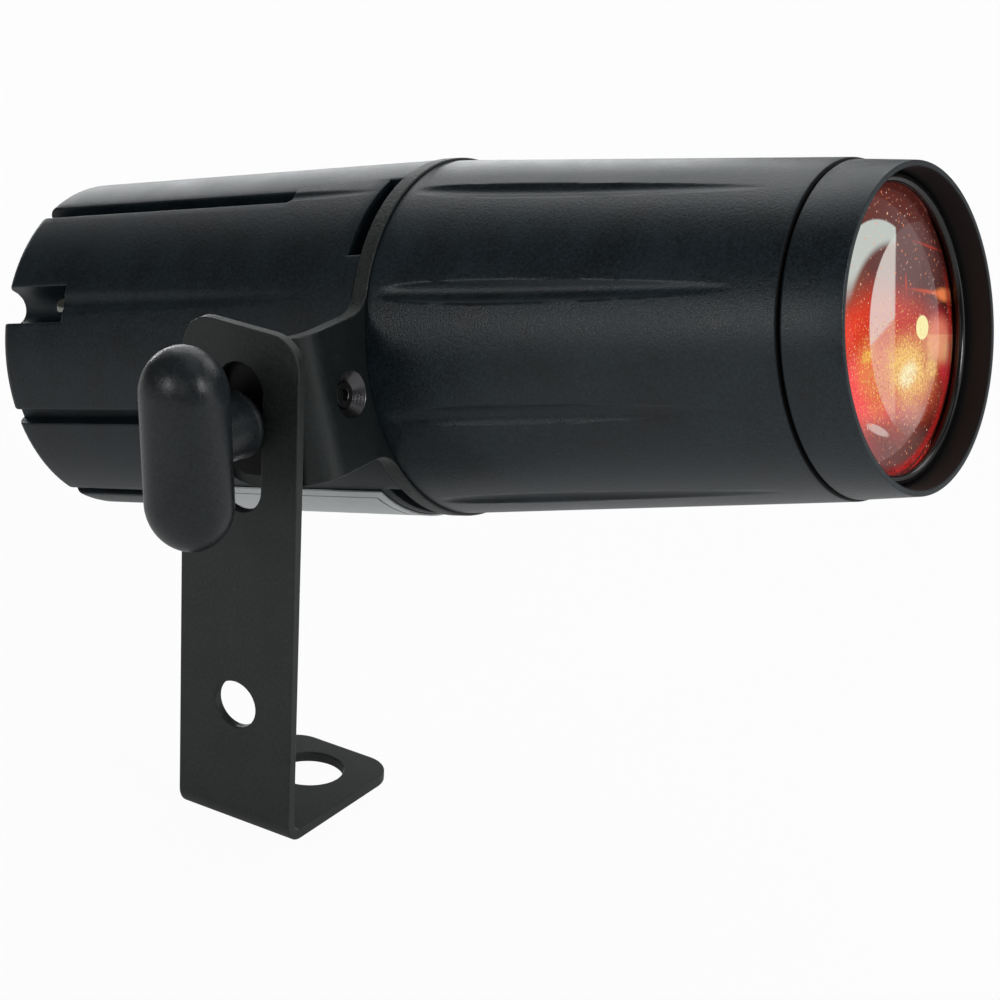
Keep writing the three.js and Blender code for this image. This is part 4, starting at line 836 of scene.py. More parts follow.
def housing_columns(sizes):
    rear, front = -sizes.rear / MM, sizes.front / MM
    rear_radius, front_radius = sizes.rear_radius / MM, sizes.front_radius / MM
    edge, half = sizes.edge / MM, sizes.slot_width / MM / 2
    floor = rear_radius - sizes.slot_depth / MM
    recess_end = rear + sizes.recess_length / MM
    vent_start = front - VENT_LENGTH
    slope = (front_radius - rear_radius) / (front - rear)
    stations = {rear + edge * (1 - math.sin(math.radians(t))) for t in range(0, 91, 15)}
    for end in (recess_end, SHORT_SLOT_END, LONG_SLOT_END, vent_start):
        stations |= {end + step for step in (-0.4,) + WORN_EDGE}
    even = [rear + edge + SKIN_STEP * i for i in range(24)]
    stations |= {station for station in even if station < front - 4}
    stations = sorted(stations | {front - HOUSING_FRONT_EDGE, front})

    def surface(s):
        radius = rear_radius + (s - rear) * slope
        if s < rear + edge:
            radius -= edge - math.sqrt(max(0, edge ** 2 - (rear + edge - s) ** 2))
        if s > front - HOUSING_FRONT_EDGE:
            radius -= (s - front + HOUSING_FRONT_EDGE) * 0.8
        return radius

    def outer(s, degrees):
        skin = surface(s)
        levels = [skin]
        for centre, end in SLOTS:
            y = abs(wrap(degrees - centre)) / DEGREES_PER_MM
            levels.append(beside_cut(skin, y - half, s - end, floor))
            if end == LONG_SLOT_END:
                levels.append(hollow(skin, y, s, end, vent_start, SLOT_HOLLOW))
        for centre in RECESSES:
            y = abs(wrap(degrees - centre)) / DEGREES_PER_MM
            recess_floor = BOLT_CIRCLE - math.sqrt(max(0, RECESS_RADIUS ** 2 - y * y))
            levels.append(beside_cut(skin, y - RECESS_RADIUS, s - recess_end, recess_floor))
            if centre != BARE_RECESS:
                levels.append(hollow(skin, y, s, recess_end, front - RECESS_HOLLOW_GAP, RECESS_HOLLOW))
        for centre in VENTS:
            y = (abs(wrap(degrees - centre)) - VENT_HALF_DEGREES) / DEGREES_PER_MM
            levels.append(beside_cut(skin, y, vent_start - s, VENT_FLOOR))
        return min(levels)

    columns = []
    for degrees in housing_directions(half):
        y = min(abs(wrap(degrees - centre)) for centre in RECESSES) / DEGREES_PER_MM
        mouth = min(MOUTH_RADIUS, BOLT_CIRCLE - math.sqrt(max(0, RECESS_WALL_RADIUS ** 2 - y ** 2)))
        rim = min(mouth + MOUTH_CHAMFER, outer(rear, degrees) - 0.02)
        last = outer(front, degrees)
        column = [(PANEL_SEAT, mouth), (rear + MOUTH_CHAMFER, mouth), (rear, rim)]
        column += [(s, outer(s, degrees)) for s in stations]
        column += [(front, min(last, MOUTH_RADIUS)), (front - SEAM_DEPTH, min(last, SEAM_RADIUS))]
        columns.append([ring_point(s, r, degrees) for s, r in column])
    return columns


SOCKET_ACROSS, SOCKET_DEPTH = 2.0, 1.1
SOCKET_STEPS = 72


def socket_head(name, outline, top, inward, chamfer, degrees):
    """A turned screw whose top has a hexagon socket; inward is 1 or -1, the way from its top into it."""
    drop, spread = chamfer
    columns = []
    for i in range(SOCKET_STEPS):
        turn = 360 * i / SOCKET_STEPS
        flat = (SOCKET_ACROSS / 2) / math.cos(math.radians((turn + 30) % 60 - 30))
        floor = top + inward * SOCKET_DEPTH
        points = [(floor, AXIS), (floor, flat), (top + inward * drop, flat), (top, flat + spread)] + outline
        columns.append([ring_point(s, r, turn) for s, r in points])
    return columns_mesh(name, columns, degrees, loop=False)


BOLT_HEAD_RADIUS, BOLT_SHANK_RADIUS = 2.25, 1.25
BOLT_HEAD_HEIGHT, BOLT_SHANK_SHOWN = 2.0, 1.5
BOLT_SEAT_GAP = 0.3


class PINSPOT_OT_housing(bpy.types.Operator):
    """Cast rear housing with its slots, recesses, vents and long bolts"""

    bl_idname = "pinspot.housing"
    bl_label = "Rear Housing"

    def execute(self, context):
        make_finishes()
        sizes = context.scene.pinspot_housing
        shell = columns_mesh("housing_shell", housing_columns(sizes), 32)
        put("housing_shell", shell, "head", HEAD, "satin_black_casting", ["rear_housing"], "cast")
        block = bmesh.new()
        place = Matrix.Translation(Vector(LUG_CENTRE) * MM)
        size = Matrix.Diagonal((*(side * MM for side in LUG_SIZE), 1))
        bmesh.ops.create_cube(block, size=1, matrix=place @ size)
        lug = mesh_of(block, "housing_lug")
        bevelled(put("housing_lug", lug, "head", HEAD, "satin_black_casting", (), "cast"), LUG_EDGE * MM)
        head = -sizes.rear / MM + sizes.recess_length / MM - BOLT_SEAT_GAP
        top, end = head - BOLT_HEAD_HEIGHT, head + BOLT_SHANK_SHOWN
        radius, shank = BOLT_HEAD_RADIUS, BOLT_SHANK_RADIUS
        outline = [(top, radius - 0.3), (top + 0.12, radius - 0.1), (top + 0.3, radius), (head, radius)]
        outline += [(head, shank), (end, shank), (end, AXIS)]
        for i, degrees in enumerate(RECESSES):
            name = f"long_bolt_{i + 1}"
            bolt = socket_head(name, outline, top, 1, (0.08, 0.1), 35)
            bolt.transform(Matrix.Translation((0, 0, BOLT_CIRCLE * MM)))
            bolt.transform(Matrix.Rotation(math.radians(degrees), 4, "X"))
            put(name, bolt, "head", HEAD, "zinc_steel", [f"housing_bolt_{i + 1}"], "bright")
        return {"FINISHED"}


LABEL_REAR, LABEL_FRONT = -38.8, 4.1
LABEL_DEGREES = 94.4
LABEL_STANDOFF, LABEL_THICKNESS = 0.12, 0.3
LABEL_STEPS_ROUND, LABEL_STEPS_ALONG = 60, 12


class PINSPOT_OT_label(bpy.types.Operator):
    """Bare silver-white label round the lower side"""

    bl_idname = "pinspot.label"
    bl_label = "Label"

    def execute(self, context):
        make_finishes()
        sizes = context.scene.pinspot_housing
        slope = (sizes.front_radius - sizes.rear_radius) / (sizes.front + sizes.rear)
        span, start = LABEL_FRONT - LABEL_REAR, 180 - LABEL_DEGREES / 2
        stations = [LABEL_REAR + span * k / LABEL_STEPS_ALONG for k in range(LABEL_STEPS_ALONG + 1)]
        skin = [(s, (sizes.rear_radius + (s * MM + sizes.rear) * slope) / MM) for s in stations]
        points = [(s, r + LABEL_STANDOFF) for s, r in skin]
        points += [(s, r + LABEL_STANDOFF + LABEL_THICKNESS) for s, r in reversed(skin)]
        columns = []
        for i in range(LABEL_STEPS_ROUND + 1):
            degrees = start + LABEL_DEGREES * i / LABEL_STEPS_ROUND
            columns.append([ring_point(s, r, degrees) for s, r in points])
        film = columns_mesh("label_film", columns, 35, closed=False)
        layer = film.uv_layers.new(name="label")
        for loop in film.loops:
            x, y, z = film.vertices[loop.vertex_index].co / MM
            turn = math.degrees(math.atan2(-y, z)) % 360
            layer.data[loop.index].uv = ((x - LABEL_REAR) / span, (turn - start) / LABEL_DEGREES)
        put("label_film", film, "head", HEAD, "label_silver", ["rating_label"], "label")
        return {"FINISHED"}


# Barrel, hood and lens

BARREL_REAR, BARREL_FRONT = 12.43, 93.25
BARREL_EDGE = 0.14
BARREL_STEPS = 72
FIRST_FLUTE = 21
FLUTE_REAR_GAP, FLUTE_FRONT_GAP = 2.6, 6
FLUTE_DEGREES_PER_MM = math.degrees(1 / 31)  # on the barrel's skin
FLUTE_ROWS = (0, 0.35, 0.7, 1.1, 1.4, 1.65, 1.9, 2.2, 2.6)  # distances from a flute's middle
# Places of the columns between two flutes, as shares of the way from one to the next
LAND_SHARES = (0.17, 0.22, 0.28, 0.34, 0.4, 0.46, 0.52, 0.58, 0.64, 0.7, 0.76, 0.82)
SEAT_BORE, THREAD_BORE, SHOULDER_BORE, INNER_BORE = 28.5, 27.4, 26.4, 26.6


def barrel_columns(sizes):
    low, high = BARREL_REAR, BARREL_FRONT
    rear, front = sizes.rear_radius / MM, sizes.front_radius / MM
    cutter, depth = sizes.flute_radius / MM, sizes.flute_depth / MM
    start, end = low + FLUTE_REAR_GAP, high - FLUTE_FRONT_GAP
    edge_steps = (0, 0.04, 0.09, BARREL_EDGE)
    straight = high - low - 2 * BARREL_EDGE
    stations = [low + step for step in edge_steps]
    stations += [low + BARREL_EDGE + straight * i / BARREL_STEPS for i in range(1, BARREL_STEPS)]
    stations += [high - step for step in reversed(edge_steps)]
    count = max(1, sizes.flute_count)
    pitch = 360 / count
    angles = {(FIRST_FLUTE + (k + t) * pitch) % 360 for k in range(count) for t in LAND_SHARES}
    angles |= {(FIRST_FLUTE + k * pitch + side * y * FLUTE_DEGREES_PER_MM) % 360
               for k in range(sizes.flute_count) for side in (-1, 1) for y in FLUTE_ROWS}

    def radius_at(s, degrees):
        skin = rear + (front - rear) * (s - low) / (high - low)
        for gap in (s - low, high - s):
            if gap < BARREL_EDGE:
                skin -= BARREL_EDGE * (1 - math.sqrt(1 - (1 - gap / BARREL_EDGE) ** 2))
        if sizes.flute_count and start < s < end:
            y = wrap(degrees - FIRST_FLUTE) % pitch
            y = min(y, pitch - y) / FLUTE_DEGREES_PER_MM
            sunk = depth * (1.05 * math.sin(math.pi * ((s - start) / (end - start)) ** 0.6) - 0.05)
            if y < cutter:
                skin -= max(0, math.sqrt(cutter ** 2 - y * y) - (cutter - sunk))
        return skin

    bore = [(high, THREAD_BORE), (high - 8, THREAD_BORE), (high - 8, SHOULDER_BORE),
            (high - 30, INNER_BORE), (low + 5, SEAT_BORE)]
    columns = []
    for degrees in sorted(angles):
        column = [(low, SEAT_BORE)] + [(s, radius_at(s, degrees)) for s in stations] + bore
        columns.append([ring_point(s, r, degrees) for s, r in column])
    return columns


class PINSPOT_OT_barrel(bpy.types.Operator):
    """Tapered barrel with its shallow flutes"""

    bl_idname = "pinspot.barrel"
    bl_label = "Front Barrel"

    def execute(self, context):
        make_finishes()
        mesh = columns_mesh("barrel_shell", barrel_columns(context.scene.pinspot_barrel), 32)
        for face in mesh.polygons:
            if face.center.x / MM > BARREL_FRONT - 0.01:
                face.material_index = 1
        put("barrel_shell", mesh, "head", HEAD, "satin_black_casting", ["front_barrel"],
            "paint", "inner_paint")
        return {"FINISHED"}


HOOD_PROFILE = (
    (85.6, 24.4), (85.6, 27.0), (93.72, 27.0), (93.72, 28.72), (94.2, 29.1), (105.17, 28.42),
    (105.17, 27.3), (99.1, 26.95), (96.6, 26.95), (96.6, 24.4),
)
HOOD_STEPS = 192
HOOD_ROUNDING = 0.2
HOOD_INSIDE = (96, 27.45)  # ahead of this station and within this radius


class PINSPOT_OT_hood(bpy.types.Operator):
    """Screwed hood ring with its thin rim"""

    bl_idname = "pinspot.hood"
    bl_label = "Hood Ring"

    def execute(self, context):
        make_finishes()
        mesh = turned("hood_ring", rounded(HOOD_PROFILE, HOOD_ROUNDING), HOOD_STEPS, 30)
        for face in mesh.polygons:
            station, radius = face.center.x / MM, face.center.yz.length / MM
            if station > HOOD_INSIDE[0] and radius < HOOD_INSIDE[1]:
                face.material_index = 1
        put("hood_ring", mesh, "head", HEAD, "satin_black_casting", ["front_bezel"], "paint", "inner_paint")
        return {"FINISHED"}


LENS_RADIUS, LENS_RISE = 24.8, 5.1
LENS_FLANGE_RADIUS, LENS_REAR_RADIUS = 26.6, 25.2
LENS_FLANGE_FRONT, LENS_FLANGE_REAR = 99.0, 96.85
LENS_STEPS = 144
DOME_STEPS = 24
GLOW_RADIUS, GLOW_FRONT, GLOW_DISH, GLOW_RINGS = 25.3, 98.6, 0.3, 40
BEAD_CENTRE, BEAD_RADIUS = (100.0, 25.75), 0.95


class PINSPOT_OT_lens(bpy.types.Operator):
    """Domed lens, the glow that it shows, and its glossy ring"""

    bl_idname = "pinspot.lens"
    bl_label = "Lens and Ring"

    def execute(self, context):
        make_finishes()
        sphere = (LENS_RADIUS ** 2 + LENS_RISE ** 2) / (2 * LENS_RISE)
        centre = LENS_FLANGE_FRONT - (sphere - LENS_RISE)
        profile = []
        for i in range(DOME_STEPS + 1):
            radius = LENS_RADIUS * math.sin(math.pi / 2 * i / DOME_STEPS)
            profile.append((centre + math.sqrt(sphere ** 2 - radius ** 2), max(radius, AXIS)))
        profile += [(LENS_FLANGE_FRONT, LENS_FLANGE_RADIUS), (LENS_FLANGE_REAR, LENS_FLANGE_RADIUS),
                    (LENS_FLANGE_REAR, LENS_REAR_RADIUS)]
        glass = turned("lens_glass", profile, LENS_STEPS, 30, loop=False)
        put("lens_glass", glass, "head", HEAD, "clear_glass", ["front_lens"], "lens")
        radii = [GLOW_RADIUS * i / GLOW_RINGS for i in range(GLOW_RINGS + 1)]
        dish = [(GLOW_FRONT - GLOW_DISH * math.cos(math.pi / 2 * r / GLOW_RADIUS), max(r, AXIS))
                for r in radii]
        glow = turned("lens_glow", dish, LENS_STEPS, 30, loop=False)
        put("lens_glow", glow, "head", HEAD, "clear_glass", (), "glow")
        ring = turned("lens_ring", circle(BEAD_CENTRE, BEAD_RADIUS, 24), LENS_STEPS, 80)
        put("lens_ring", ring, "head", HEAD, "gloss_rubber", ["lens_gasket"], "gasket")
        return {"FINISHED"}


# Bracket: arm, yoke plate and knob

ARM_HEIGHT, ARM_HALF_WIDTH, ARM_THICKNESS, ARM_BEND, ARM_CORNER = 97.9, 12.55, 2.0, 4.0, 6.0
FOOT_DEPTH = 34.9
ARM_HOLE_HEIGHT, ARM_HOLE_RADIUS = 25.1, 4.5
FOOT_HOLE_INSET, FOOT_HOLE_RADIUS = 23.8, 6.5
SLOT_TOP, SLOT_TRAVEL, SLOT_RADIUS = 11.5, 18.3, 4.8
CORNER_STEPS = 16


class PINSPOT_OT_arm(bpy.types.Operator):
    """Bent sheet arm with its slot, hole and foot"""

    bl_idname = "pinspot.arm"
    bl_label = "Mounting Arm"

    def execute(self, context):
        make_finishes()
        bend_start = ARM_HEIGHT - ARM_BEND
        bend_end = bend_start + ARM_BEND * math.pi / 2
        end = bend_end + FOOT_DEPTH - ARM_BEND
        half, side = ARM_HALF_WIDTH, ARM_HALF_WIDTH - ARM_CORNER

        def corner(u, v, first):
            return arc((u, v), ARM_CORNER, first, first + 90, CORNER_STEPS)

        outline = corner(ARM_CORNER, side, 90) + corner(ARM_CORNER, -side, 180)
        outline += [(bend_start, -half), (bend_end, -half)]
        outline += corner(end - ARM_CORNER, -side, -90) + corner(end - ARM_CORNER, side, 0)
        outline += [(bend_end, half), (bend_start, half)]
        slot = arc((SLOT_TOP, 0), SLOT_RADIUS, 90, 270, 24)
        slot += arc((SLOT_TOP + SLOT_TRAVEL, 0), SLOT_RADIUS, -90, 90, 24)
        hole = circle((ARM_HEIGHT - ARM_HOLE_HEIGHT, 0), ARM_HOLE_RADIUS)
        foot_hole = circle((bend_end + FOOT_HOLE_INSET - ARM_BEND, 0), FOOT_HOLE_RADIUS)
        place = bend_place((0, 0, ARM_HEIGHT), (0, 0, -1), (1, 0, 0), (0, -1, 0), bend_start, ARM_BEND)
        edge = context.scene.pinspot_bracket.edge / MM
        mesh = sheet_solid("arm_sheet", [outline, slot, hole, foot_hole], place, ARM_THICKNESS, edge,
                           bend_cuts(bend_start, bend_end, 12))
        for face in mesh.polygons:
            if face.normal.z > 0.9 and face.center.z < 2 * ARM_THICKNESS * MM:
                face.material_index = 1
        levelled(put("arm_sheet", mesh, "bracket", ARM, "arm_black", ["mount_arm"], "sheet", "foot_top"))
        return {"FINISHED"}


PLATE_FRONT = 12.4
PLATE_RADIUS, PLATE_HALF_TAB, PLATE_FILLET, PLATE_THICKNESS, PLATE_BEND = 33.2, 13.2, 6.0, 3.1, 8.0
PLATE_BEND_START = 43.5  # from the lamp's axis
PLATE_BORE, PLATE_SCREW_BORE, PLATE_STUD_BORE = 24.2, 1.7, 3.3
SCREW_REACH = 38.3  # from the lamp's axis
# The countersink's rows: distance outside its bore, and depth
SINK_PROFILE = ((2.62, 0.0), (2.54, 0.03), (2.47, 0.1), (0.0, 2.55), (0.0, PLATE_THICKNESS))
TAB_SCREW_TOP = 10.95
TAB_SCREW_PROFILE = ((2.22, 0.0), (2.3, 0.08), (1.5, 0.85), (1.5, 6.0), (AXIS, 6.0))  # radius, depth


class PINSPOT_OT_plate(bpy.types.Operator):
    """Yoke plate with its bent ear, and its countersunk screw"""

    bl_idname = "pinspot.plate"
    bl_label = "Yoke Plate"

    def execute(self, context):
        make_finishes()
        half, fillet = PLATE_HALF_TAB, PLATE_FILLET
        bend_end = PLATE_BEND_START + PLATE_BEND * math.pi / 2
        pivot = bend_end + PLATE_FRONT - PLATE_BEND
        reach = math.sqrt((PLATE_RADIUS + fillet) ** 2 - (half + fillet) ** 2)
        meet = math.degrees(math.atan2(half + fillet, reach))
        outline = arc((0, 0), PLATE_RADIUS, meet, 360 - meet, 150)
        outline += arc((reach, -half - fillet), fillet, 180 - meet, 90, 12)
        outline += [(PLATE_BEND_START, -half), (bend_end, -half)] + arc((pivot, 0), half, -90, 90, 36)
        outline += [(bend_end, half), (PLATE_BEND_START, half)]
        outline += arc((reach, half + fillet), fillet, -90, meet - 180, 12)
        loops = [outline, circle((0, 0), PLATE_BORE, 96), circle((SCREW_REACH, 0), PLATE_SCREW_BORE, 48),
                 circle((pivot, 0), PLATE_STUD_BORE, 36)]
        place = bend_place(
            (PLATE_FRONT, 0, 0), (0, -1, 0), (0, 0, -1), (1, 0, 0), PLATE_BEND_START, PLATE_BEND)
        edge = context.scene.pinspot_bracket.edge / MM
        cuts = bend_cuts(PLATE_BEND_START, bend_end, 20)
        mesh = sheet_solid("plate_sheet", loops, place, PLATE_THICKNESS, edge, cuts, 1, (2, SINK_PROFILE))
        levelled(put("plate_sheet", mesh, "head", HEAD, "arm_black", ["yoke_plate"],
                     "plate", "cut_edge", "cone"))
        outline = [(TAB_SCREW_TOP - depth, r) for r, depth in TAB_SCREW_PROFILE]
        screw = socket_head("tab_screw", outline, TAB_SCREW_TOP, -1, (0.06, 0.08), 30)
        screw.transform(Matrix.Translation((0, -SCREW_REACH * MM, 0)))
        put("tab_screw", screw, "head", HEAD, "black_steel", ["yoke_screw"], "black_steel")
        return {"FINISHED"}


KNOB_CAP = 8.7  # length of each rounded end of the bar
KNOB_STEPS = 64
KNOB_FRONT_POWER, KNOB_POWER = 2.3, 2.15  # of the bar's oval section; 2 is a plain ellipse
KNOB_LEAN = math.radians(-3.9)
KNOB_BAR_CENTRE = (0.2, -15, -0.4)
HUB_PROFILE = (
    (-12.0, 0.001), (-12.0, 5.2), (-2.4, 6.1), (-1.6, 6.35), (-1.2, 6.2), (-1.0, 5.8), (-1.95, 5.75),
    (-1.95, 3.3), (-3.0, 3.3), (-3.0, 0.001),
)
HUB_STEPS = 72
HUB_ROUNDING = 0.2


def knob_columns(sizes):
    """The knob's bar, upright: oval sections that draw in towards both ends."""
    half_length = sizes.knob_length / MM / 2
    width, depth = sizes.knob_width / MM / 2, sizes.knob_depth / MM / 2
    ends = [half_length - KNOB_CAP * (1 - math.sin(math.radians(t))) for t in range(0, 91, 5)]
    heights = sorted({-h for h in ends} | set(ends) | {x * 1.6 for x in range(-6, 7)})
    columns = []
    for i in range(KNOB_STEPS):
        turn = 2 * math.pi * i / KNOB_STEPS
        across, away = math.cos(turn), math.sin(turn)
        power = KNOB_FRONT_POWER if away < 0 else KNOB_POWER
        x = math.copysign(abs(across) ** (2 / KNOB_POWER), across) * width
        y = math.copysign(abs(away) ** (2 / power), away) * depth
        column = []
        for height in heights:
            over = max(0, (abs(height) - half_length + KNOB_CAP) / KNOB_CAP)
            narrow = max(0.0005, math.sqrt(1 - min(1, over) ** 2))
            column.append(Vector((x * narrow, y * narrow, height)) * MM)
        columns.append(column)
    return columns


class PINSPOT_OT_knob(bpy.types.Operator):
    """Bar and hub of the T-shaped clamp knob"""

    bl_idname = "pinspot.knob"
    bl_label = "Clamp Knob"

    def execute(self, context):
        make_finishes()
        lean = PIVOT @ Matrix.Rotation(KNOB_LEAN, 4, "Y")
        bar = columns_mesh("knob_bar", knob_columns(context.scene.pinspot_bracket), 60, loop=False)
        bar.transform(Matrix.Translation(Vector(KNOB_BAR_CENTRE) * MM))
        put("knob_bar", bar, "clamp_grip", lean, "black_plastic", ["clamp_knob"], "knob")
        profile = rounded(HUB_PROFILE, HUB_ROUNDING)
        turns = [2 * math.pi * i / HUB_STEPS for i in range(HUB_STEPS)]
        columns = [[Vector((r * math.cos(a), s, r * math.sin(a))) * MM for s, r in profile] for a in turns]
        hub = columns_mesh("knob_hub", columns, 50)
        put("knob_hub", hub, "clamp_grip", lean, "black_plastic", (), "knob")
        return {"FINISHED"}


# Rear panel and inner pieces

# Places on the panel are from the lamp's axis
PANEL_REAR, PANEL_RADIUS, PANEL_THICKNESS = -73.2, 27.1, 1.9
PANEL_EDGE = 0.2
PANEL_CLEAR_RADIUS = 5.55  # round a bolt recess
WINDOW_HALF_WIDTH, WINDOW_LOW, WINDOW_HIGH, WINDOW_CORNER = 11.2, 6.3, 14.7, 0.8
BUTTON_PITCH, BUTTON_ROW, BUTTON_HOLE_RADIUS = 8.4, -0.6, 2.4
INLET_PLACE, INLET_HOLE_RADIUS = (0, -14.6), 5.1
DATA_PLACE, DATA_HOLE_RADIUS = (12.9, -10.3), 4.7


def panel_outline():
    """The panel's round edge, which gives way to the bolt recesses."""
    result = []
    for turn in (2 * math.pi * i / 160 for i in range(160)):
        x, y = PANEL_RADIUS * math.cos(turn), PANEL_RADIUS * math.sin(turn)
        for degrees in RECESSES:
            bolt = math.radians(degrees)
            bolt_x, bolt_y = -BOLT_CIRCLE * math.sin(bolt), BOLT_CIRCLE * math.cos(bolt)
            gap = math.hypot(x - bolt_x, y - bolt_y)
            if gap < PANEL_CLEAR_RADIUS:
                x = bolt_x + (x - bolt_x) * PANEL_CLEAR_RADIUS / gap
                y = bolt_y + (y - bolt_y) * PANEL_CLEAR_RADIUS / gap
        result.append((x, y))
    return result


class PINSPOT_OT_panel(bpy.types.Operator):
    """Rear panel with its window opening"""

    bl_idname = "pinspot.panel"
    bl_label = "Rear Panel"

    def execute(self, context):
        make_finishes()
        window = []
        for first, side, level in (
                (0, 1, WINDOW_HIGH), (90, -1, WINDOW_HIGH), (180, -1, WINDOW_LOW), (270, 1, WINDOW_LOW)):
            window += arc((side * WINDOW_HALF_WIDTH, level), WINDOW_CORNER, first, first + 90, 5)
        holes = [circle((step * BUTTON_PITCH, BUTTON_ROW), BUTTON_HOLE_RADIUS, 36)
                 for step in (-1.5, -0.5, 0.5, 1.5)]
        holes.append(circle(INLET_PLACE, INLET_HOLE_RADIUS, 48))
        holes += [circle((side * DATA_PLACE[0], DATA_PLACE[1]), DATA_HOLE_RADIUS, 48) for side in (-1, 1)]

        def place(u, v, depth):
            return Vector((depth + PANEL_REAR, u, v)) * MM

        loops = [panel_outline(), window] + holes
        mesh = sheet_solid("panel_plate", loops, place, PANEL_THICKNESS, PANEL_EDGE)
        levelled(put("panel_plate", mesh, "head", HEAD, "satin_black_casting", ["rear_panel"], "cast"))
        return {"FINISHED"}


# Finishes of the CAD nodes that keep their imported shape; a number at a name's end is left off
NODE_FINISHES = {
    "slot_bush": "nylon", "thrust_washer": "black_steel", "clamp_stud": "zinc", "weld_nut": "zinc",
    "heat_sink": "anodised", "led_board": "white_board", "led_emitter": "emitter", "collimator": "acrylic",
    "collimator_holder": "knob", "led_screw": "zinc", "display_window": "smoked", "display_module": "module",
    "control_board": "board", "panel_screw": "black_steel", "control_standoff": "zinc", "button": "knob",
    "power_inlet_nut": "zinc", "data_in_socket_nut": "zinc", "data_out_socket_nut": "zinc",
    "power_inlet": "knob", "data_in_socket": "knob", "data_out_socket": "knob", "chassis_tray": "aluminium",
    "driver_board": "board", "tray_screw": "zinc", "board_spacer": "nylon", "transformer": "copper",
    "terminal_block": "terminal", "bulk_capacitor": "sleeve", "filter_choke": "copper",
    "mains_lead": "nylon", "data_lead": "nylon", "led_lead": "red_lead",
}


class PINSPOT_OT_inner(bpy.types.Operator):
    """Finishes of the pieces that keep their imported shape"""

    bl_idname = "pinspot.inner"
    bl_label = "Inner Pieces"

    def execute(self, context):
        make_finishes()
        for name, piece in frame["nodes"].items():
            if piece.hide_render:
                continue
            key = name if name in NODE_FINISHES else name.rstrip("0123456789").rstrip("_")
            if key not in NODE_FINISHES:
                raise RuntimeError("no finish is named for " + name)
            piece.data.materials.clear()
            piece.data.materials.append(finish(NODE_FINISHES[key]))
        return {"FINISHED"}


# Stage

# Name, place in metres, size in metres and power in watts
SOFTBOXES = (
    ("back_top", (-0.597, 0.838, 0.88), (1.0, 0.9), 4.4),
    ("back_low", (-0.869, 0.82, 0.16), (0.85, 0.16), 2.8),
    ("far_side", (0.244, 0.857, 0.757), (0.6, 0.5), 1.6),
    ("overhead", (0.1, 0.1, 0.9), (0.8, 0.5), 0.6),
    ("right", (0.93, 0.2, 0.35), (0.5, 0.8), 1.0),
    ("key_right", (0.53, -0.12, 0.40), (0.15, 0.15), 0.9),
    ("front", (0.2, -0.9, 0.5), (0.6, 0.5), 0.55),
    ("key_left", (-0.24, -0.58, 0.29), (0.14, 0.14), 0.55),
    ("top_left", (-0.9, 0.4, 0.7), (0.6, 0.6), 0.4),
)
SOFTBOX_TARGET = Vector((0.02, 0.02, 0.08))
LAMP_TINT = (0.97, 0.99, 1.0)
PANEL_DIRECTION = (0.616, 0.788, 0)  # of the white panel that the lens mirrors
PANEL_STRENGTH = 0.4
FLOOR_HALF = 4
FLOOR_DROP = 0.0004  # under the foot, so that the two faces don't coincide
FLOOR_GLOSS_WHITE = 0.2
FLOOR_CLEAR = 0.96
SENSOR_WIDTH = 36


def add_object(name, data):
    item = bpy.data.objects.new(name, data)
    bpy.context.scene.collection.objects.link(item)
    return item


def softbox(name, place, size, power):
    light = bpy.data.lights.new(name, "AREA")
    light.shape = "RECTANGLE"
    light.size, light.size_y = size
    light.energy = power
    light.color = LAMP_TINT
    lamp = add_object(name, light)
    lamp.location = place
    lamp.rotation_euler = (SOFTBOX_TARGET - Vector(place)).to_track_quat("-Z", "Y").to_euler()


def studio_world(stage):
    """A dim room with a white panel that the lens mirrors; the camera sees plain white."""
    world = bpy.data.worlds.new("studio")
    world.use_nodes = True
    made = Wiring(world.node_tree)
    sky = made.tree.nodes["Background"]
    sky.inputs["Color"].default_value = WHITE
    place = made.add("ShaderNodeTexCoord").outputs["Generated"]
    inputs = {0: place, 1: PANEL_DIRECTION}
    facing = made.add("ShaderNodeVectorMath", inputs, operation="DOT_PRODUCT").outputs["Value"]
    strength = made.ranged(facing, 0.55, 0.85, stage.room, PANEL_STRENGTH, "SMOOTHSTEP")
    made.feed(sky.inputs["Strength"], strength)
    white = made.add("ShaderNodeBackground", {"Color": WHITE}).outputs[0]
    path = made.add("ShaderNodeLightPath").outputs
    shown = made.math("MAXIMUM", path["Is Camera Ray"], path["Is Transmission Ray"])
    made.feed(made.tree.nodes["World Output"].inputs["Surface"], made.shaders(shown, sky.outputs[0], white))
    return world


def floor_finish(stage):
    """Pale and dull. Glossy pieces mirror it a little whiter, and the camera looks through it.

    A head that is tilted below the foot is seen whole that way.
    """
    made = Finish("pale_floor")
    made.set(Base_Color=tone(stage.floor), Roughness=0.9, Specular_IOR_Level=0.0)
    path = made.add("ShaderNodeLightPath").outputs
    white = made.add("ShaderNodeEmission", {"Color": WHITE, "Strength": 1.0}).outputs[0]
    clear = made.add("ShaderNodeBsdfTransparent", {"Color": WHITE}).outputs[0]
    mirrored = made.times(path["Is Glossy Ray"], FLOOR_GLOSS_WHITE)
    lit = made.shaders(mirrored, made.shader.outputs[0], white)
    made.feed(made.surface, made.shaders(made.times(path["Is Camera Ray"], FLOOR_CLEAR), lit, clear))
    return made.material


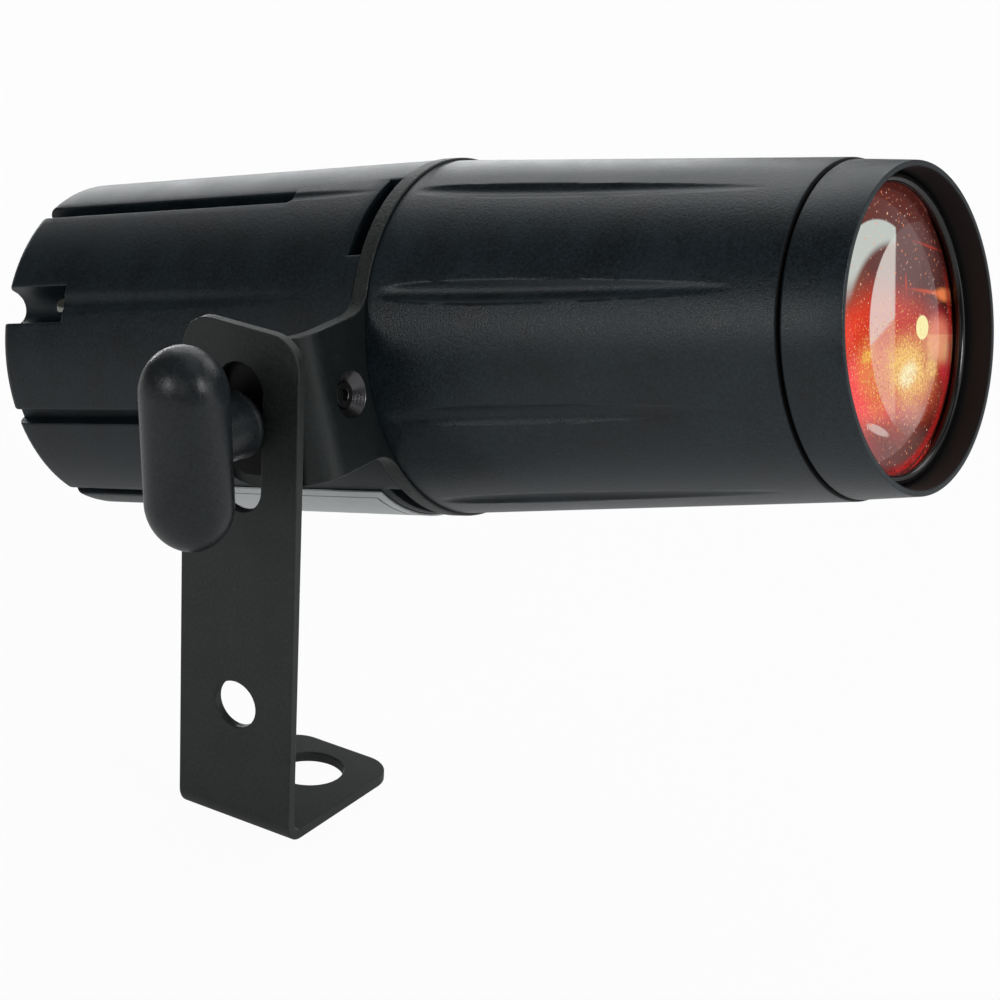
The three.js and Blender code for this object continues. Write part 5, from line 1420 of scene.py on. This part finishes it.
def camera_matrix(stage):
    a, e, r = stage.azimuth, stage.elevation, stage.roll
    back = Vector((math.cos(e) * math.sin(a), -math.cos(e) * math.cos(a), math.sin(e)))
    level = Vector((math.cos(a), math.sin(a), 0))
    up = back.cross(level)
    right = math.cos(r) * level + math.sin(r) * up
    upward = -math.sin(r) * level + math.cos(r) * up
    matrix = Matrix((right, upward, back)).transposed().to_4x4()
    matrix.translation = Vector(stage.target) + back * stage.distance
    return matrix


class PINSPOT_OT_stage(bpy.types.Operator):
    """Pale floor, soft studio light and the camera"""

    bl_idname = "pinspot.stage"
    bl_label = "Stage"

    def execute(self, context):
        scene = context.scene
        stage = scene.pinspot_stage
        scene.view_settings.view_transform = "Standard"
        plane = bmesh.new()
        bmesh.ops.create_grid(plane, x_segments=1, y_segments=1, size=FLOOR_HALF)
        floor = add_object("floor", mesh_of(plane, "floor"))
        floor.location = (0, 0, -FLOOR_DROP)
        floor.data.materials.append(floor_finish(stage))
        scene.world = studio_world(stage)
        for name, place, size, power in SOFTBOXES:
            softbox(name, place, size, power)
        camera = add_object("camera", bpy.data.cameras.new("camera"))
        camera.data.sensor_width = SENSOR_WIDTH
        camera.data.lens = stage.focal
        camera.data.clip_start = 0.01
        camera.matrix_world = camera_matrix(stage)
        scene.camera = camera
        return {"FINISHED"}


OPERATORS = (
    PINSPOT_OT_stage, PINSPOT_OT_housing, PINSPOT_OT_label, PINSPOT_OT_barrel, PINSPOT_OT_hood,
    PINSPOT_OT_lens, PINSPOT_OT_arm, PINSPOT_OT_plate, PINSPOT_OT_knob, PINSPOT_OT_panel, PINSPOT_OT_inner,
)


class PINSPOT_PT_build(bpy.types.Panel):
    """Lists the sizes, colours and pieces of the pinspot light"""

    bl_idname = "PINSPOT_PT_build"
    bl_label = "Pinspot Light"
    bl_space_type = "VIEW_3D"
    bl_region_type = "UI"
    bl_category = "Pinspot"

    def draw(self, context):
        for name, group in GROUPS.items():
            box = self.layout.box()
            for prop in group.__annotations__:
                box.prop(getattr(context.scene, name), prop)
        for operator in OPERATORS:
            self.layout.operator(operator.bl_idname)


def register():
    for name, group in GROUPS.items():
        bpy.utils.register_class(group)
        setattr(bpy.types.Scene, name, bpy.props.PointerProperty(type=group))
    for cls in OPERATORS + (PINSPOT_PT_build,):
        bpy.utils.register_class(cls)


def unregister():
    for cls in reversed(OPERATORS + (PINSPOT_PT_build,)):
        bpy.utils.unregister_class(cls)
    for name, group in GROUPS.items():
        delattr(bpy.types.Scene, name)
        bpy.utils.unregister_class(group)


def main():
    register()
    for operator in OPERATORS:
        getattr(bpy.ops.pinspot, operator.bl_idname.split(".")[1])()


if __name__ == "__main__":
    main()
